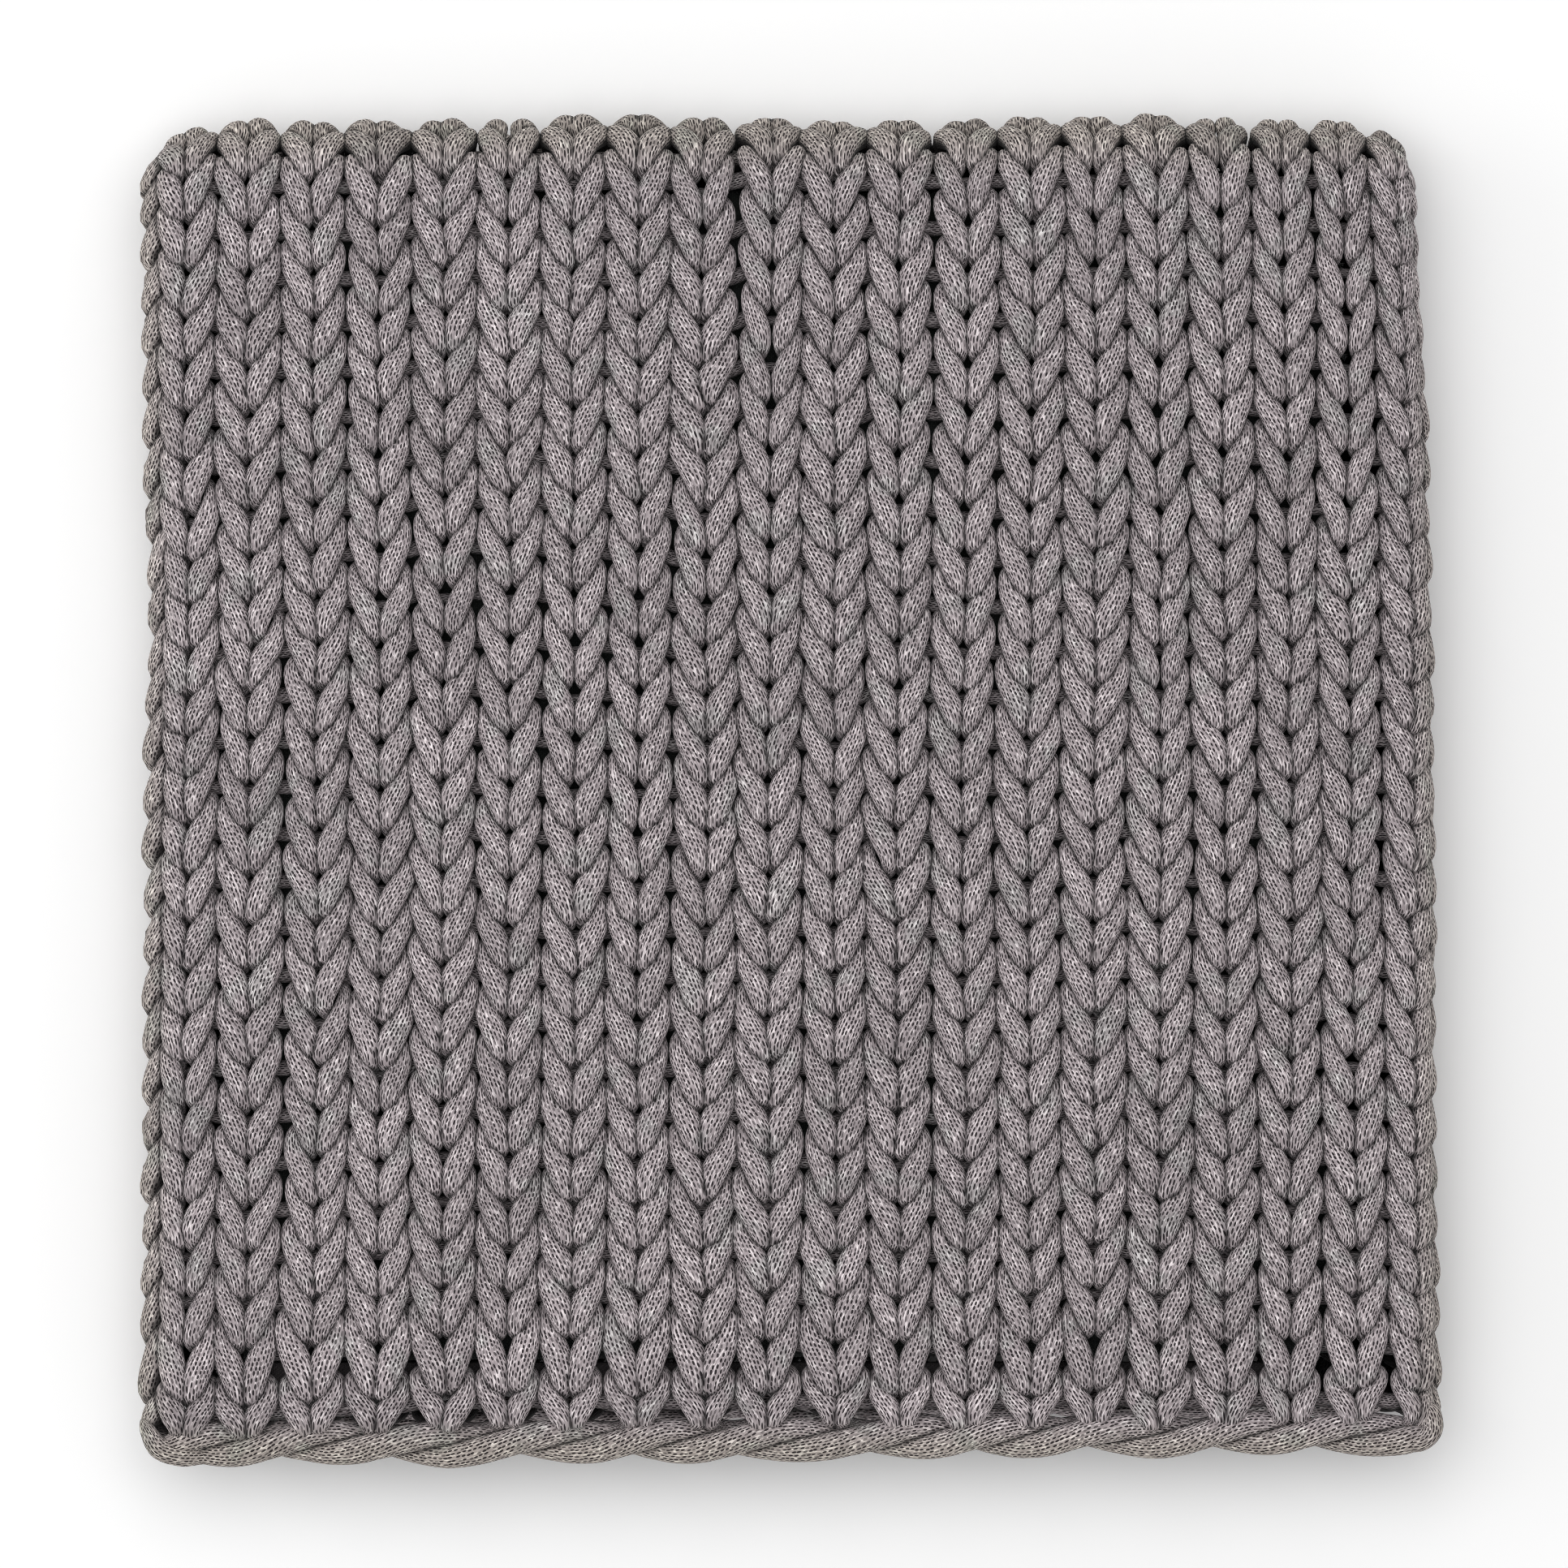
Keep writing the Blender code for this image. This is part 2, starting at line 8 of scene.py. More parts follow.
import bpy
import numpy as np
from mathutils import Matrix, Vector


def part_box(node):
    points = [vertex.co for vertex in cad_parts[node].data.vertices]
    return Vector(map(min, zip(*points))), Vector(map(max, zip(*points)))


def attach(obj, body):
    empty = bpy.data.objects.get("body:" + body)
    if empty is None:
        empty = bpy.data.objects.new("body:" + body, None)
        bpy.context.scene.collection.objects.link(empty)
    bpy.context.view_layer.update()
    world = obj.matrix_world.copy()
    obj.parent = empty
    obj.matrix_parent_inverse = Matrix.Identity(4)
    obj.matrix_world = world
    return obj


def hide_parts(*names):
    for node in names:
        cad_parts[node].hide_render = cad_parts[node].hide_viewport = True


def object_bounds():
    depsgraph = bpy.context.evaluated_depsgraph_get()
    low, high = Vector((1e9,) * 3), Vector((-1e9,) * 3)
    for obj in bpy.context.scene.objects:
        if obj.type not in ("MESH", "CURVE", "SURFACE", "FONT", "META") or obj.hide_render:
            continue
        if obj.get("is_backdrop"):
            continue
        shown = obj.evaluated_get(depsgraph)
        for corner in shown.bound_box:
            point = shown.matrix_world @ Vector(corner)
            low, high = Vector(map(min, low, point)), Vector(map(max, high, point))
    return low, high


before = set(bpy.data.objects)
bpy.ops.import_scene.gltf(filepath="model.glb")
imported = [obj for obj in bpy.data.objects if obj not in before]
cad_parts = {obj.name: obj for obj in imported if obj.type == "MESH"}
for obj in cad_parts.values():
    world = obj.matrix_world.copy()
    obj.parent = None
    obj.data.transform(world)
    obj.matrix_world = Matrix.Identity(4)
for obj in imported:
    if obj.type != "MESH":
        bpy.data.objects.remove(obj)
CAD_LOW, CAD_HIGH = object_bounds()
MM = 0.001

# ---------------------------------------------------------------- places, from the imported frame
front_low, front_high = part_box("knit_front_panel")
back_low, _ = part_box("knit_back_panel")
_, fold_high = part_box("knit_top_fold")
chain_low, chain_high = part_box("front_bind_off_chain")
cast_low, cast_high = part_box("back_cast_on_chain")

HALF_X = CAD_HIGH.x
EDGE_Z = fold_high.z  # height of the edges
MID_Z = EDGE_Z / 2
CROWN = front_high.z - EDGE_Z  # how far the face's middle stands above its edges
ROLL = EDGE_Z / 4  # radius of each layer's rolled side edge
ROLL_X = HALF_X - ROLL
FOLD_R = EDGE_Z / 2
Y_FOLD = fold_high.y - FOLD_R  # where the face starts to turn over the top
Y_FRONT = front_low.y
Y_BACK = back_low.y
MID_Y = (Y_FRONT + Y_FOLD) / 2
HALF_Y = (Y_FOLD - Y_FRONT) / 2

# ---------------------------------------------------------------- knit gauge
WALE = 25.4 * MM  # from one column of stitches to the next
WALES = 22
FIRST_WALE = -262.7 * MM  # middle of the first column
COURSE = 18.35 * MM  # from one row of stitches to the next
FIRST_LINE_BELOW = 4.2 * MM  # how far the first row starts past the face's end
FIRST_GAPS = (13.5 * MM, 22.5 * MM, 19.4 * MM)  # the uneven rows next to the bound edge
LEAST_INSET = 12 * MM  # room kept for another row at the back's end
LAST_INSET = 20 * MM  # where the last row starts, short of the back's end
LEG_RISE = 1.38  # height of a stitch leg, in rows
YARN_R = 4.8 * MM
PATH_DEPTH = 10.7 * MM  # mean depth of the yarn's centreline
LOOP_SWING = 6.95 * MM  # how far a loop bulges past its own column's share
LOOP_HOOK = 0.25 * MM
LOOP_LEAN = 0.1 * MM
LOOP_DEPTH = 5.0 * MM  # how far legs stand out and heads lie back
LOOP_TUCK = 1.25 * MM
STEPS = 46  # rings in a stitch
SIDES = 16  # points in a ring
FOLD_MID_R = 21.0 * MM  # radius by which rows are counted round the top fold
FOLD_LENGTH = math.pi * FOLD_MID_R
WRAP_R = 13.0 * MM  # radius by which columns are counted round the side edges
LEAST_HEIGHT = 0.3 * MM  # of the yarn above the floor
BAND = 3  # rows in one mesh

rng = np.random.default_rng(11)


def smooth_noise(rows, columns, across, along, seed):
    """A smooth random field of unit size, with bumps about so many cells across and along."""
    random = np.random.default_rng(seed)
    high = int(rows / along) + 4
    wide = int(columns / across) + 4
    grid = random.normal(size=(high, wide))
    y = np.linspace(1, high - 2.01, rows)
    x = np.linspace(1, wide - 2.01, columns)
    iy = y.astype(int)
    ix = x.astype(int)
    fy = (y - iy)[:, None]
    fx = (x - ix)[None, :]
    fy = fy * fy * (3 - 2 * fy)
    fx = fx * fx * (3 - 2 * fx)
    a = grid[iy][:, ix] * (1 - fx) + grid[iy][:, ix + 1] * fx
    b = grid[iy + 1][:, ix] * (1 - fx) + grid[iy + 1][:, ix + 1] * fx
    return a * (1 - fy) + b * fy


def crown(x, y, power=2.4):
    """Height of the face above the flat of its edges, and its two slopes."""
    u = np.clip(x / ROLL_X, -1, 1)
    v = np.clip((y - MID_Y) / HALF_Y, -1, 1)
    fu = 1 - np.abs(u) ** power
    fv = 1 - np.abs(v) ** power
    du = -power * np.abs(u) ** (power - 1) * np.sign(u) / ROLL_X
    dv = -power * np.abs(v) ** (power - 1) * np.sign(v) / HALF_Y
    return CROWN * fu * fv, CROWN * du * fv, CROWN * fu * dv


def on_cover(s, t, n):
    """Points on the cover, and the outward direction there.

    s is the place across, t the place along (up the face, over the fold, down the back) and n
    the height above the outer surface.
    """
    theta = np.clip((t - Y_FOLD) / FOLD_MID_R, 0, math.pi)
    ny = np.sin(theta)
    nz = np.cos(theta)
    on_face = np.minimum(t, Y_FOLD)
    on_back = np.maximum(t - Y_FOLD - FOLD_LENGTH, 0)
    y0 = np.where(on_back > 0, Y_FOLD - on_back, on_face)
    inner = np.clip(s, -ROLL_X, ROLL_X)
    side = np.sign(s)
    phi = np.clip((np.abs(s) - ROLL_X) / WRAP_R, 0, math.pi)
    r = np.where(phi > 0, np.maximum(ROLL + n, 0.8 * MM), ROLL + n)
    out = (FOLD_R - ROLL) + r * np.cos(phi)
    x = inner + side * r * np.sin(phi)
    rise, slope_x, slope_y = crown(inner, on_face)
    on = (t <= Y_FOLD) * np.clip(1 - phi, 0, 1)
    rise = rise * on
    slope_x = slope_x * on
    slope_y = slope_y * on
    y = y0 + ny * out
    z = MID_Z + nz * out + rise
    x = x - slope_x * n
    y = y - slope_y * n
    points = np.stack([x, y, z], -1)
    normal = np.stack(
        [side * np.sin(phi) - slope_x, ny * np.cos(phi) - slope_y, nz * np.cos(phi)], -1
    )
    return points, unit(normal)


def settled(points):
    """The outline that the lying pillow has taken.

    It is a little narrower at the top, its sides are wavy and its top corners drawn in, and its
    bottom edge rises to the right.
    """
    x, y, z = points[..., 0], points[..., 1], points[..., 2]
    up = np.clip((y - Y_FRONT) / (2 * HALF_Y), 0, 1.1)
    right = 1 - 0.040 * up**2.6 - 0.0035 * np.sin(5.5 * up)
    left = 1 - 0.006 * np.sin(3.0 * up) ** 2 - 0.0075 * np.exp(-(((up - 0.66) / 0.07) ** 2))
    side = np.clip((np.abs(x) / HALF_X) ** 2, 0, 1)
    x = x * np.where(x > 0, 1 - (1 - right) * side, 1 - (1 - left) * side)
    corner = np.clip((np.abs(x) - 0.205) / 0.049, 0, 1) ** 2
    near_top = np.clip((y - 0.170) / 0.09, 0, 1) ** 2
    y = y - (13 * MM * corner + 1.1 * MM * np.sin(x * 31 + 0.6)) * near_top
    low_end = np.clip((-0.185 - y) / 0.06, 0, 1)
    y = y + 5.5 * MM * np.clip((x + 0.2) / 0.42, 0, 1) * low_end
    return np.stack([x, y, z], -1)


def unit(v):
    return v / np.maximum(np.linalg.norm(v, axis=-1, keepdims=True), 1e-12)


def lengths_along(points):
    """How far along the line through the points each of them lies."""
    return np.concatenate([[0], np.cumsum(np.linalg.norm(np.diff(points, axis=0), axis=1))])


def sweep(points, outward, wide, thick, sides=SIDES, power=2.15):
    """Rings of a tube along points, wide and thick being its half sizes across and outwards."""
    wide = np.broadcast_to(wide, len(points))
    thick = np.broadcast_to(thick, len(points))
    tangent = unit(np.gradient(points, axis=0))
    across = unit(np.cross(tangent, outward))
    up = np.cross(across, tangent)
    angle = np.arange(sides) / sides * 2 * math.pi - math.pi / 2
    c = np.sign(np.cos(angle)) * np.abs(np.cos(angle)) ** (2 / power)
    s = np.sign(np.sin(angle)) * np.abs(np.sin(angle)) ** (2 / power)
    return (
        points[:, None, :]
        + across[:, None, :] * (c[None, :, None] * wide[:, None, None])
        + up[:, None, :] * (s[None, :, None] * thick[:, None, None])
    )


def ring_rise(sides):
    """Height of each point of a ring, from -1 inside to 1 outside."""
    return np.sin(np.arange(sides) / sides * 2 * math.pi - math.pi / 2)


def cells_of(rings, per_patch, first_patch=0):
    """Each ring's patch of the laid-out map, and where along it the ring's faces start and end."""
    step = np.arange(len(rings) - 1)
    share = (step % per_patch) / per_patch
    return first_patch + step // per_patch, share, share + 1 / per_patch


def new_object(name, mesh, material=None):
    """An object of the scene that holds this mesh."""
    if material:
        mesh.materials.append(material)
    ob = bpy.data.objects.new(name, mesh)
    bpy.context.scene.collection.objects.link(ob)
    return ob


def finish_piece(ob, slot, *nodes):
    """Puts a piece on the pillow's body, in place of the named nodes."""
    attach(ob, "pillow")
    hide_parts(*nodes)
    return ob


class Tubes:
    """Gathers swept tubes into one mesh, with a map of the yarn's surface, each stitch's tone and
    the painted shade of each point.
    """

    def __init__(self):
        self.co, self.quads, self.fans = [], [], []
        self.yarn, self.lay = [], []
        self.tone, self.painted_shade = [], []
        self.count = 0

    def add(self, rings, cells, tone=0.0, loop_offset=0.0, painted_shade=None):
        """Adds a capped tube. cells is what cells_of gives for its rings."""
        n, m, _ = rings.shape
        first = self.count
        self.co.append(rings.reshape(-1, 3))
        self.count += n * m
        i = np.arange(n - 1)[:, None]
        j = np.arange(m)[None, :]
        k = (j + 1) % m
        low, high = first + i * m, first + (i + 1) * m
        self.quads.append(np.stack([low + j, high + j, high + k, low + k], -1).reshape(-1, 4))
        along = lengths_along(rings.mean(1)) + loop_offset
        whole = lambda values: np.broadcast_to(values, (n - 1, m))
        left, right = whole(j / m), whole((j + 1) / m)
        a, b = whole(along[:-1, None]), whole(along[1:, None])
        corner = [np.stack(pair, -1) for pair in ((left, a), (left, b), (right, b), (right, a))]
        self.yarn.append(np.stack(corner, -2).reshape(-1, 2))
        patch, start, end = (whole(values[:, None]) for values in cells)
        corner = [
            np.stack([share, around, patch], -1)
            for share, around in ((start, left), (end, left), (end, right), (start, right))
        ]
        self.lay.append(np.stack(corner, -2).reshape(-1, 3))
        self.tone.append(np.repeat(np.broadcast_to(tone, n), m))
        self.painted_shade.append(np.ones(n * m) if painted_shade is None else painted_shade.reshape(-1))
        self.fans.append((first, m, -1))
        self.fans.append((first + (n - 1) * m, m, 1))

    def build(self, name, material, columns=5):
        """One mesh of all the tubes, whose map lays out the patches in so many columns."""
        co = np.concatenate(self.co)
        quads = np.concatenate(self.quads)
        yarn = np.concatenate(self.yarn)
        lay = np.concatenate(self.lay)
        patches = int(lay[:, 2].max()) + 1
        columns = min(columns, patches)
        lines = math.ceil(patches / columns)
        cell_u = (lay[:, 2] % columns + 0.015 + 0.97 * lay[:, 0]) / columns
        cell_v = (lay[:, 2] // columns + 0.02 + 0.96 * lay[:, 1]) / lines
        loops = quads.reshape(-1)
        starts = np.arange(len(quads)) * 4
        totals = np.full(len(quads), 4)
        packed = np.stack([cell_u, cell_v], -1)
        for first, m, way in self.fans:
            ring = first + np.arange(m)
            ring = ring if way > 0 else ring[::-1]
            loops = np.concatenate([loops, ring])
            starts = np.append(starts, starts[-1] + totals[-1])
            totals = np.append(totals, m)
            angle = np.arange(m) / m * 2 * math.pi
            spot = np.stack([0.5 + 0.002 * np.cos(angle), 0.995 + 0.002 * np.sin(angle)], -1)
            yarn = np.concatenate([yarn, np.stack([np.arange(m) / m, np.zeros(m)], -1)])
            packed = np.concatenate([packed, spot])
        me = bpy.data.meshes.new(name)
        me.vertices.add(len(co))
        me.vertices.foreach_set("co", co.astype(np.float32).ravel())
        me.loops.add(len(loops))
        me.loops.foreach_set("vertex_index", loops.astype(np.int32))
        me.polygons.add(len(starts))
        me.polygons.foreach_set("loop_start", starts.astype(np.int32))
        me.polygons.foreach_set("loop_total", totals.astype(np.int32))
        me.polygons.foreach_set("use_smooth", np.ones(len(starts), bool))
        for layer, places in (("yarn", yarn), ("OFBake", packed)):
            uv = me.uv_layers.new(name=layer).uv
            uv.foreach_set("vector", places.astype(np.float32).ravel())
        for layer, values in (("tone", self.tone), ("painted_shade", self.painted_shade)):
            data = me.attributes.new(layer, "FLOAT", "POINT").data
            data.foreach_set("value", np.concatenate(values).astype(np.float32))
        me.update()
        me.validate()
        return new_object(name, me, material)


# ---------------------------------------------------------------- materials
class Graph:
    """A new material, with short words for making its shader nodes."""

    def __init__(self, name):
        self.material = bpy.data.materials.new(name)
        self.material.use_nodes = True
        self.nodes = self.material.node_tree.nodes
        self.links = self.material.node_tree.links
        self.shader = self.nodes["Principled BSDF"]

    def node(self, kind, inputs=None, **settings):
        n = self.nodes.new(kind)
        for key, value in settings.items():
            setattr(n, key, value)
        for key, value in (inputs or {}).items():
            self.put(n.inputs[key], value)
        return n

    def put(self, socket, value):
        if isinstance(value, bpy.types.NodeSocket):
            self.links.new(value, socket)
        else:
            socket.default_value = value

    def noise(self, inputs, dimensions="3D"):
        return self.node("ShaderNodeTexNoise", inputs, noise_dimensions=dimensions).outputs[0]

    def bump(self, height, strength, distance):
        """Turns a height into small relief on the surface."""
        inputs = {"Height": height, "Strength": strength, "Distance": distance}
        self.put(self.shader.inputs["Normal"], self.node("ShaderNodeBump", inputs).outputs[0])

    def math(self, kind, *values):
        n = self.nodes.new("ShaderNodeMath")
        n.operation = kind
        for socket, value in zip(n.inputs, values):
            self.put(socket, value)
        return n.outputs[0]

    def spread(self, value, low, high, to_low=0.0, to_high=1.0, smooth=True):
        n = self.nodes.new("ShaderNodeMapRange")
        n.interpolation_type = "SMOOTHSTEP" if smooth else "LINEAR"
        keys = ("Value", "From Min", "From Max", "To Min", "To Max")
        for key, number in zip(keys, (value, low, high, to_low, to_high)):
            self.put(n.inputs[key], number)
        return n.outputs["Result"]

    def mix(self, share, a, b, blend="MIX"):
        n = self.nodes.new("ShaderNodeMix")
        n.data_type = "RGBA"
        n.blend_type = blend
        n.clamp_factor = True
        self.put(n.inputs[0], share)
        self.put(n.inputs[6], a)
        self.put(n.inputs[7], b)
        return n.outputs[2]

    def join(self, x, y, z=0.0):
        n = self.nodes.new("ShaderNodeCombineXYZ")
        for socket, value in zip(n.inputs, (x, y, z)):
            self.put(socket, value)
        return n.outputs[0]

    def split(self, vector):
        n = self.nodes.new("ShaderNodeSeparateXYZ")
        self.links.new(vector, n.inputs[0])
        return n.outputs


def rgb(r, g, b):
    return (r, g, b, 1.0)


def yarn_material(name, ribs, pitch, dark, body, strand_highlight):
    """Soft yarn that is a fine knitted tube: small slanted loops, with painted shade in the slots
    and grooves between them and a painted highlight on the raised strands.
    """
    g = Graph(name)
    uv = g.node("ShaderNodeUVMap", uv_map="yarn").outputs[0]
    parts = g.split(uv)
    around = g.math("MULTIPLY", parts[0], float(ribs))
    along = g.math("DIVIDE", parts[1], pitch)
    drift = g.join(g.math("MULTIPLY", around, 0.16), g.math("MULTIPLY", along, 0.11))
    wobble = g.noise({"Vector": drift, "Scale": 1.0, "Detail": 1.0}, "2D")
    lean = g.math("ADD", g.math("MULTIPLY", around, 0.5), g.math("MULTIPLY", wobble, 1.6))
    column = g.math("ADD", around, g.math("MULTIPLY", wobble, 0.9))
    place = g.join(column, g.math("ADD", along, lean))
    cells = g.node(
        "ShaderNodeTexVoronoi",
        {"Vector": place, "Scale": 1.0, "Randomness": 0.38},
        voronoi_dimensions="2D",
        feature="F1",
    )
    ends = {0: place, 1: cells.outputs["Position"]}
    apart = g.split(g.node("ShaderNodeVectorMath", ends, operation="SUBTRACT").outputs[0])
    slim = g.math("MULTIPLY", g.math("SUBTRACT", apart[0], g.math("MULTIPLY", apart[1], 0.30)), 1.9)
    square = g.math("ADD", g.math("MULTIPLY", slim, slim), g.math("MULTIPLY", apart[1], apart[1]))
    away = g.math("SQRT", square)
    slot = g.spread(away, 0.35, 0.50, 1.0, 0.0)
    own = g.split(cells.outputs["Color"])[0]
    slot = g.math("MULTIPLY", slot, g.spread(own, 0.0, 0.4, 0.6, 1.0))
    slant = g.math("ADD", g.math("MULTIPLY", along, 0.55), g.math("MULTIPLY", around, 0.3))
    strand_place = g.join(g.math("MULTIPLY", around, 1.9), slant)
    strand = g.noise({"Vector": strand_place, "Scale": 1.0, "Detail": 2.0, "Roughness": 0.6}, "2D")
    # Painted highlight: the raised strands are mixed towards a pale colour.
    colour = g.mix(g.spread(strand, 0.48, 0.74), rgb(*body), rgb(*strand_highlight))
    # Painted shade in the grooves between the strands.
    between = g.math("MULTIPLY", g.spread(strand, 0.26, 0.46, 1.0, 0.0), 0.25)
    colour = g.mix(between, colour, rgb(*dark))
    # Painted shade in the slots between the small loops.
    colour = g.mix(g.math("MULTIPLY", slot, 0.96), colour, rgb(*dark))
    tone = g.node("ShaderNodeAttribute", attribute_name="tone").outputs["Fac"]
    shade = g.spread(tone, -1.0, 1.0, 0.84, 1.16, smooth=False)
    # Painted shade kept on the mesh: deep points, inner flanks and creases against other strands are
    # darkened.
    painted_shade = g.node("ShaderNodeAttribute", attribute_name="painted_shade").outputs["Fac"]
    shade = g.math("MULTIPLY", shade, g.spread(painted_shade, 0.0, 1.0, 0.06, 1.0))
    colour = g.mix(1.0, colour, g.join(shade, shade, shade), blend="MULTIPLY")
    where = g.node("ShaderNodeTexCoord").outputs["Object"]
    patch = g.noise({"Vector": where, "Scale": 62.0, "Detail": 1.0})
    tint = g.spread(patch, 0.56, 0.70, 0.0, 0.5)
    colour = g.mix(tint, colour, g.mix(1.0, colour, rgb(0.90, 1.01, 0.96), blend="MULTIPLY"))
    # Painted shade: a warm, slightly darker tint along the pillow's sides and its bottom and top
    # edges.
    spot = g.split(where)
    sides = g.spread(g.math("ABSOLUTE", spot[0]), 0.238, 0.256)
    rim = g.math("MAXIMUM", sides, g.spread(spot[1], -0.242, -0.258))
    rim = g.math("MAXIMUM", rim, g.spread(spot[1], 0.236, 0.262))
    colour = g.mix(rim, colour, g.mix(1.0, colour, rgb(0.93, 0.94, 0.83), blend="MULTIPLY"))
    g.put(g.shader.inputs["Base Color"], colour)
    g.shader.inputs["Roughness"].default_value = 0.88
    g.shader.inputs["Specular IOR Level"].default_value = 0.18
    g.shader.inputs["Sheen Weight"].default_value = 0.06
    g.shader.inputs["Sheen Roughness"].default_value = 0.4
    height = g.math("SUBTRACT", g.math("MULTIPLY", strand, 0.4), slot)
    g.bump(height, 0.7, 0.5 * MM)
    return g.material


# The near-black is painted shade for the slots and grooves; the lightest colour is a painted
# highlight on the strand crests.
YARN = yarn_material(
    "yarn_tube_knit",
    ribs=24,
    pitch=2.15 * MM,
    dark=(0.012, 0.009, 0.011),
    body=(0.345, 0.300, 0.311),
    strand_highlight=(0.80, 0.73, 0.74),
)

# ---------------------------------------------------------------- courses of the knit
fold_end = Y_FOLD + FOLD_LENGTH
strip_end = fold_end + (Y_FOLD - Y_BACK)
lines = [Y_FRONT - FIRST_LINE_BELOW]
for gap in FIRST_GAPS:
    lines.append(lines[-1] + gap)
while lines[-1] + COURSE < strip_end - LEAST_INSET:
    lines.append(lines[-1] + COURSE)
rows = len(lines)
lines = np.array(lines)
lines[4:] += (strip_end - LAST_INSET - lines[-1]) * np.linspace(0, 1, rows - 4)
pitch = np.append(np.diff(lines), COURSE)

# Small unevenness of each stitch: its place, openness, thickness, legs and shade.
row_wave = smooth_noise(rows, WALES, 6, 5, 3) * 1.5 * MM
wale_wave = smooth_noise(rows, WALES, 1.2, 7, 4) * 0.8 * MM
open_wave = smooth_noise(rows, WALES, 0.8, 6, 5)
thick_wave = smooth_noise(rows, WALES, 1, 1.4, 6)
leg_noise = rng.normal(size=(rows, WALES, 2, 4))
tones = smooth_noise(rows, WALES, 0.7, 0.8, 8) * 0.45 + rng.normal(size=(rows, WALES)) * 0.22
row_wave += smooth_noise(rows, WALES, 0.9, 10, 9) * 1.5 * MM
row_wave[:3] *= np.array([0.3, 0.5, 0.8])[:, None]

turn = np.arange(STEPS) / STEPS * 2 * math.pi
side_leg = np.where(turn <= math.pi, 0, 1)
leg_share = np.sin(turn) ** 2


def eased(value, low, high):
    """0 at low, 1 at high, and a soft curve between them."""
    share = np.clip((value - low) / (high - low), 0, 1)
    return share * share * (3 - 2 * share)


def softened(values):
    """The values with their sharpest changes smoothed away."""
    kernel = np.array([1, 2, 3, 2, 1]) / 9
    return np.convolve(np.pad(values, 2, mode="edge"), kernel, mode="valid")


def course(j):
    """Places (s, t, n), half sizes and tone along one course, from the first column to the last."""
    stitches = []
    leg_rise = LEG_RISE * pitch[j]
    half = leg_rise / 1.414
    middle = lines[j] + leg_rise / 2
    for k in range(WALES):
        own = leg_noise[j, k][side_leg]
        swing = LOOP_SWING + 0.35 * MM * own[:, 0] - 0.55 * MM * open_wave[j, k]
        lean = LOOP_LEAN + 0.45 * MM * own[:, 1] * leg_share
        x = WALE * turn / (2 * math.pi) + swing * np.sin(2 * turn)
        x = x + lean * np.sin(turn) + LOOP_HOOK * np.sin(4 * turn)
        y = -half * np.cos(turn) + 1.0 * MM * own[:, 2] * leg_share
        z = LOOP_DEPTH * (2 * eased(leg_share, 0.24, 0.66) - 1)
        z = z + LOOP_TUCK * (np.cos(turn) - np.cos(3 * turn)) + 0.4 * MM * own[:, 3] * leg_share
        stretch = np.clip(pitch[j] / COURSE, 0.92, 1.25) ** 0.6
        size = YARN_R * (stretch + 0.055 * thick_wave[j, k] - 0.04 * open_wave[j, k])
        leg = eased(leg_share, 0.36, 0.94)
        stitches.append(
            (
                FIRST_WALE + (k - 0.5) * WALE + x + wale_wave[j, k],
                middle + y + row_wave[j, k],
                z - PATH_DEPTH,
                size * (0.58 + 0.45 * leg) * (1 + 0.15 * np.cos(turn)),
                size * (0.66 + 0.32 * leg),
                np.full(STEPS, tones[j, k]),
            )
        )
    return [softened(np.concatenate(values)) for values in zip(*stitches)]


paths = [course(j) for j in range(rows)]
centres = np.stack([on_cover(*p[:3])[0] for p in paths]).astype(np.float32)
centres = centres.reshape(rows, WALES, STEPS, 3)
girth = np.stack([(p[3] + p[4]) / 2 for p in paths]).astype(np.float32)
girth = girth.reshape(rows, WALES, STEPS)


def closeness(j, rings):
    """Gap between each point of a course and the nearest other strand, negative inside it."""
    points = rings.reshape(WALES, STEPS, SIDES, 3).astype(np.float32)
    gap = np.full(points.shape[:3], 0.02, np.float32)
    steps = np.arange(0, STEPS, 2)
    for dj in (-1, 0, 1):
        for dk in (-1, 0, 1):
            if not 0 <= j + dj < rows:
                continue
            a, b = max(0, -dk), min(WALES, WALES - dk)
            other = centres[j + dj, a + dk : b + dk, ::2]
            radius = girth[j + dj, a + dk : b + dk, ::2]
            near = points[a:b]
            dots = near.reshape(b - a, -1, 3) @ other.transpose(0, 2, 1)
            square = (near**2).sum(-1).reshape(b - a, -1, 1) + (other**2).sum(-1)[:, None, :]
            away = np.sqrt(np.maximum(square - 2 * dots, 0)) - radius[:, None, :]
            if dj == 0:
                apart = np.abs(steps[None, :] + dk * STEPS - np.arange(STEPS)[:, None])
                same = np.repeat(apart < STEPS // 5, SIDES, axis=0)
                away = np.where(same[None], 1.0, away)
            gap[a:b] = np.minimum(gap[a:b], away.min(-1).reshape(near.shape[:3]))
    return gap.reshape(rings.shape[:2])


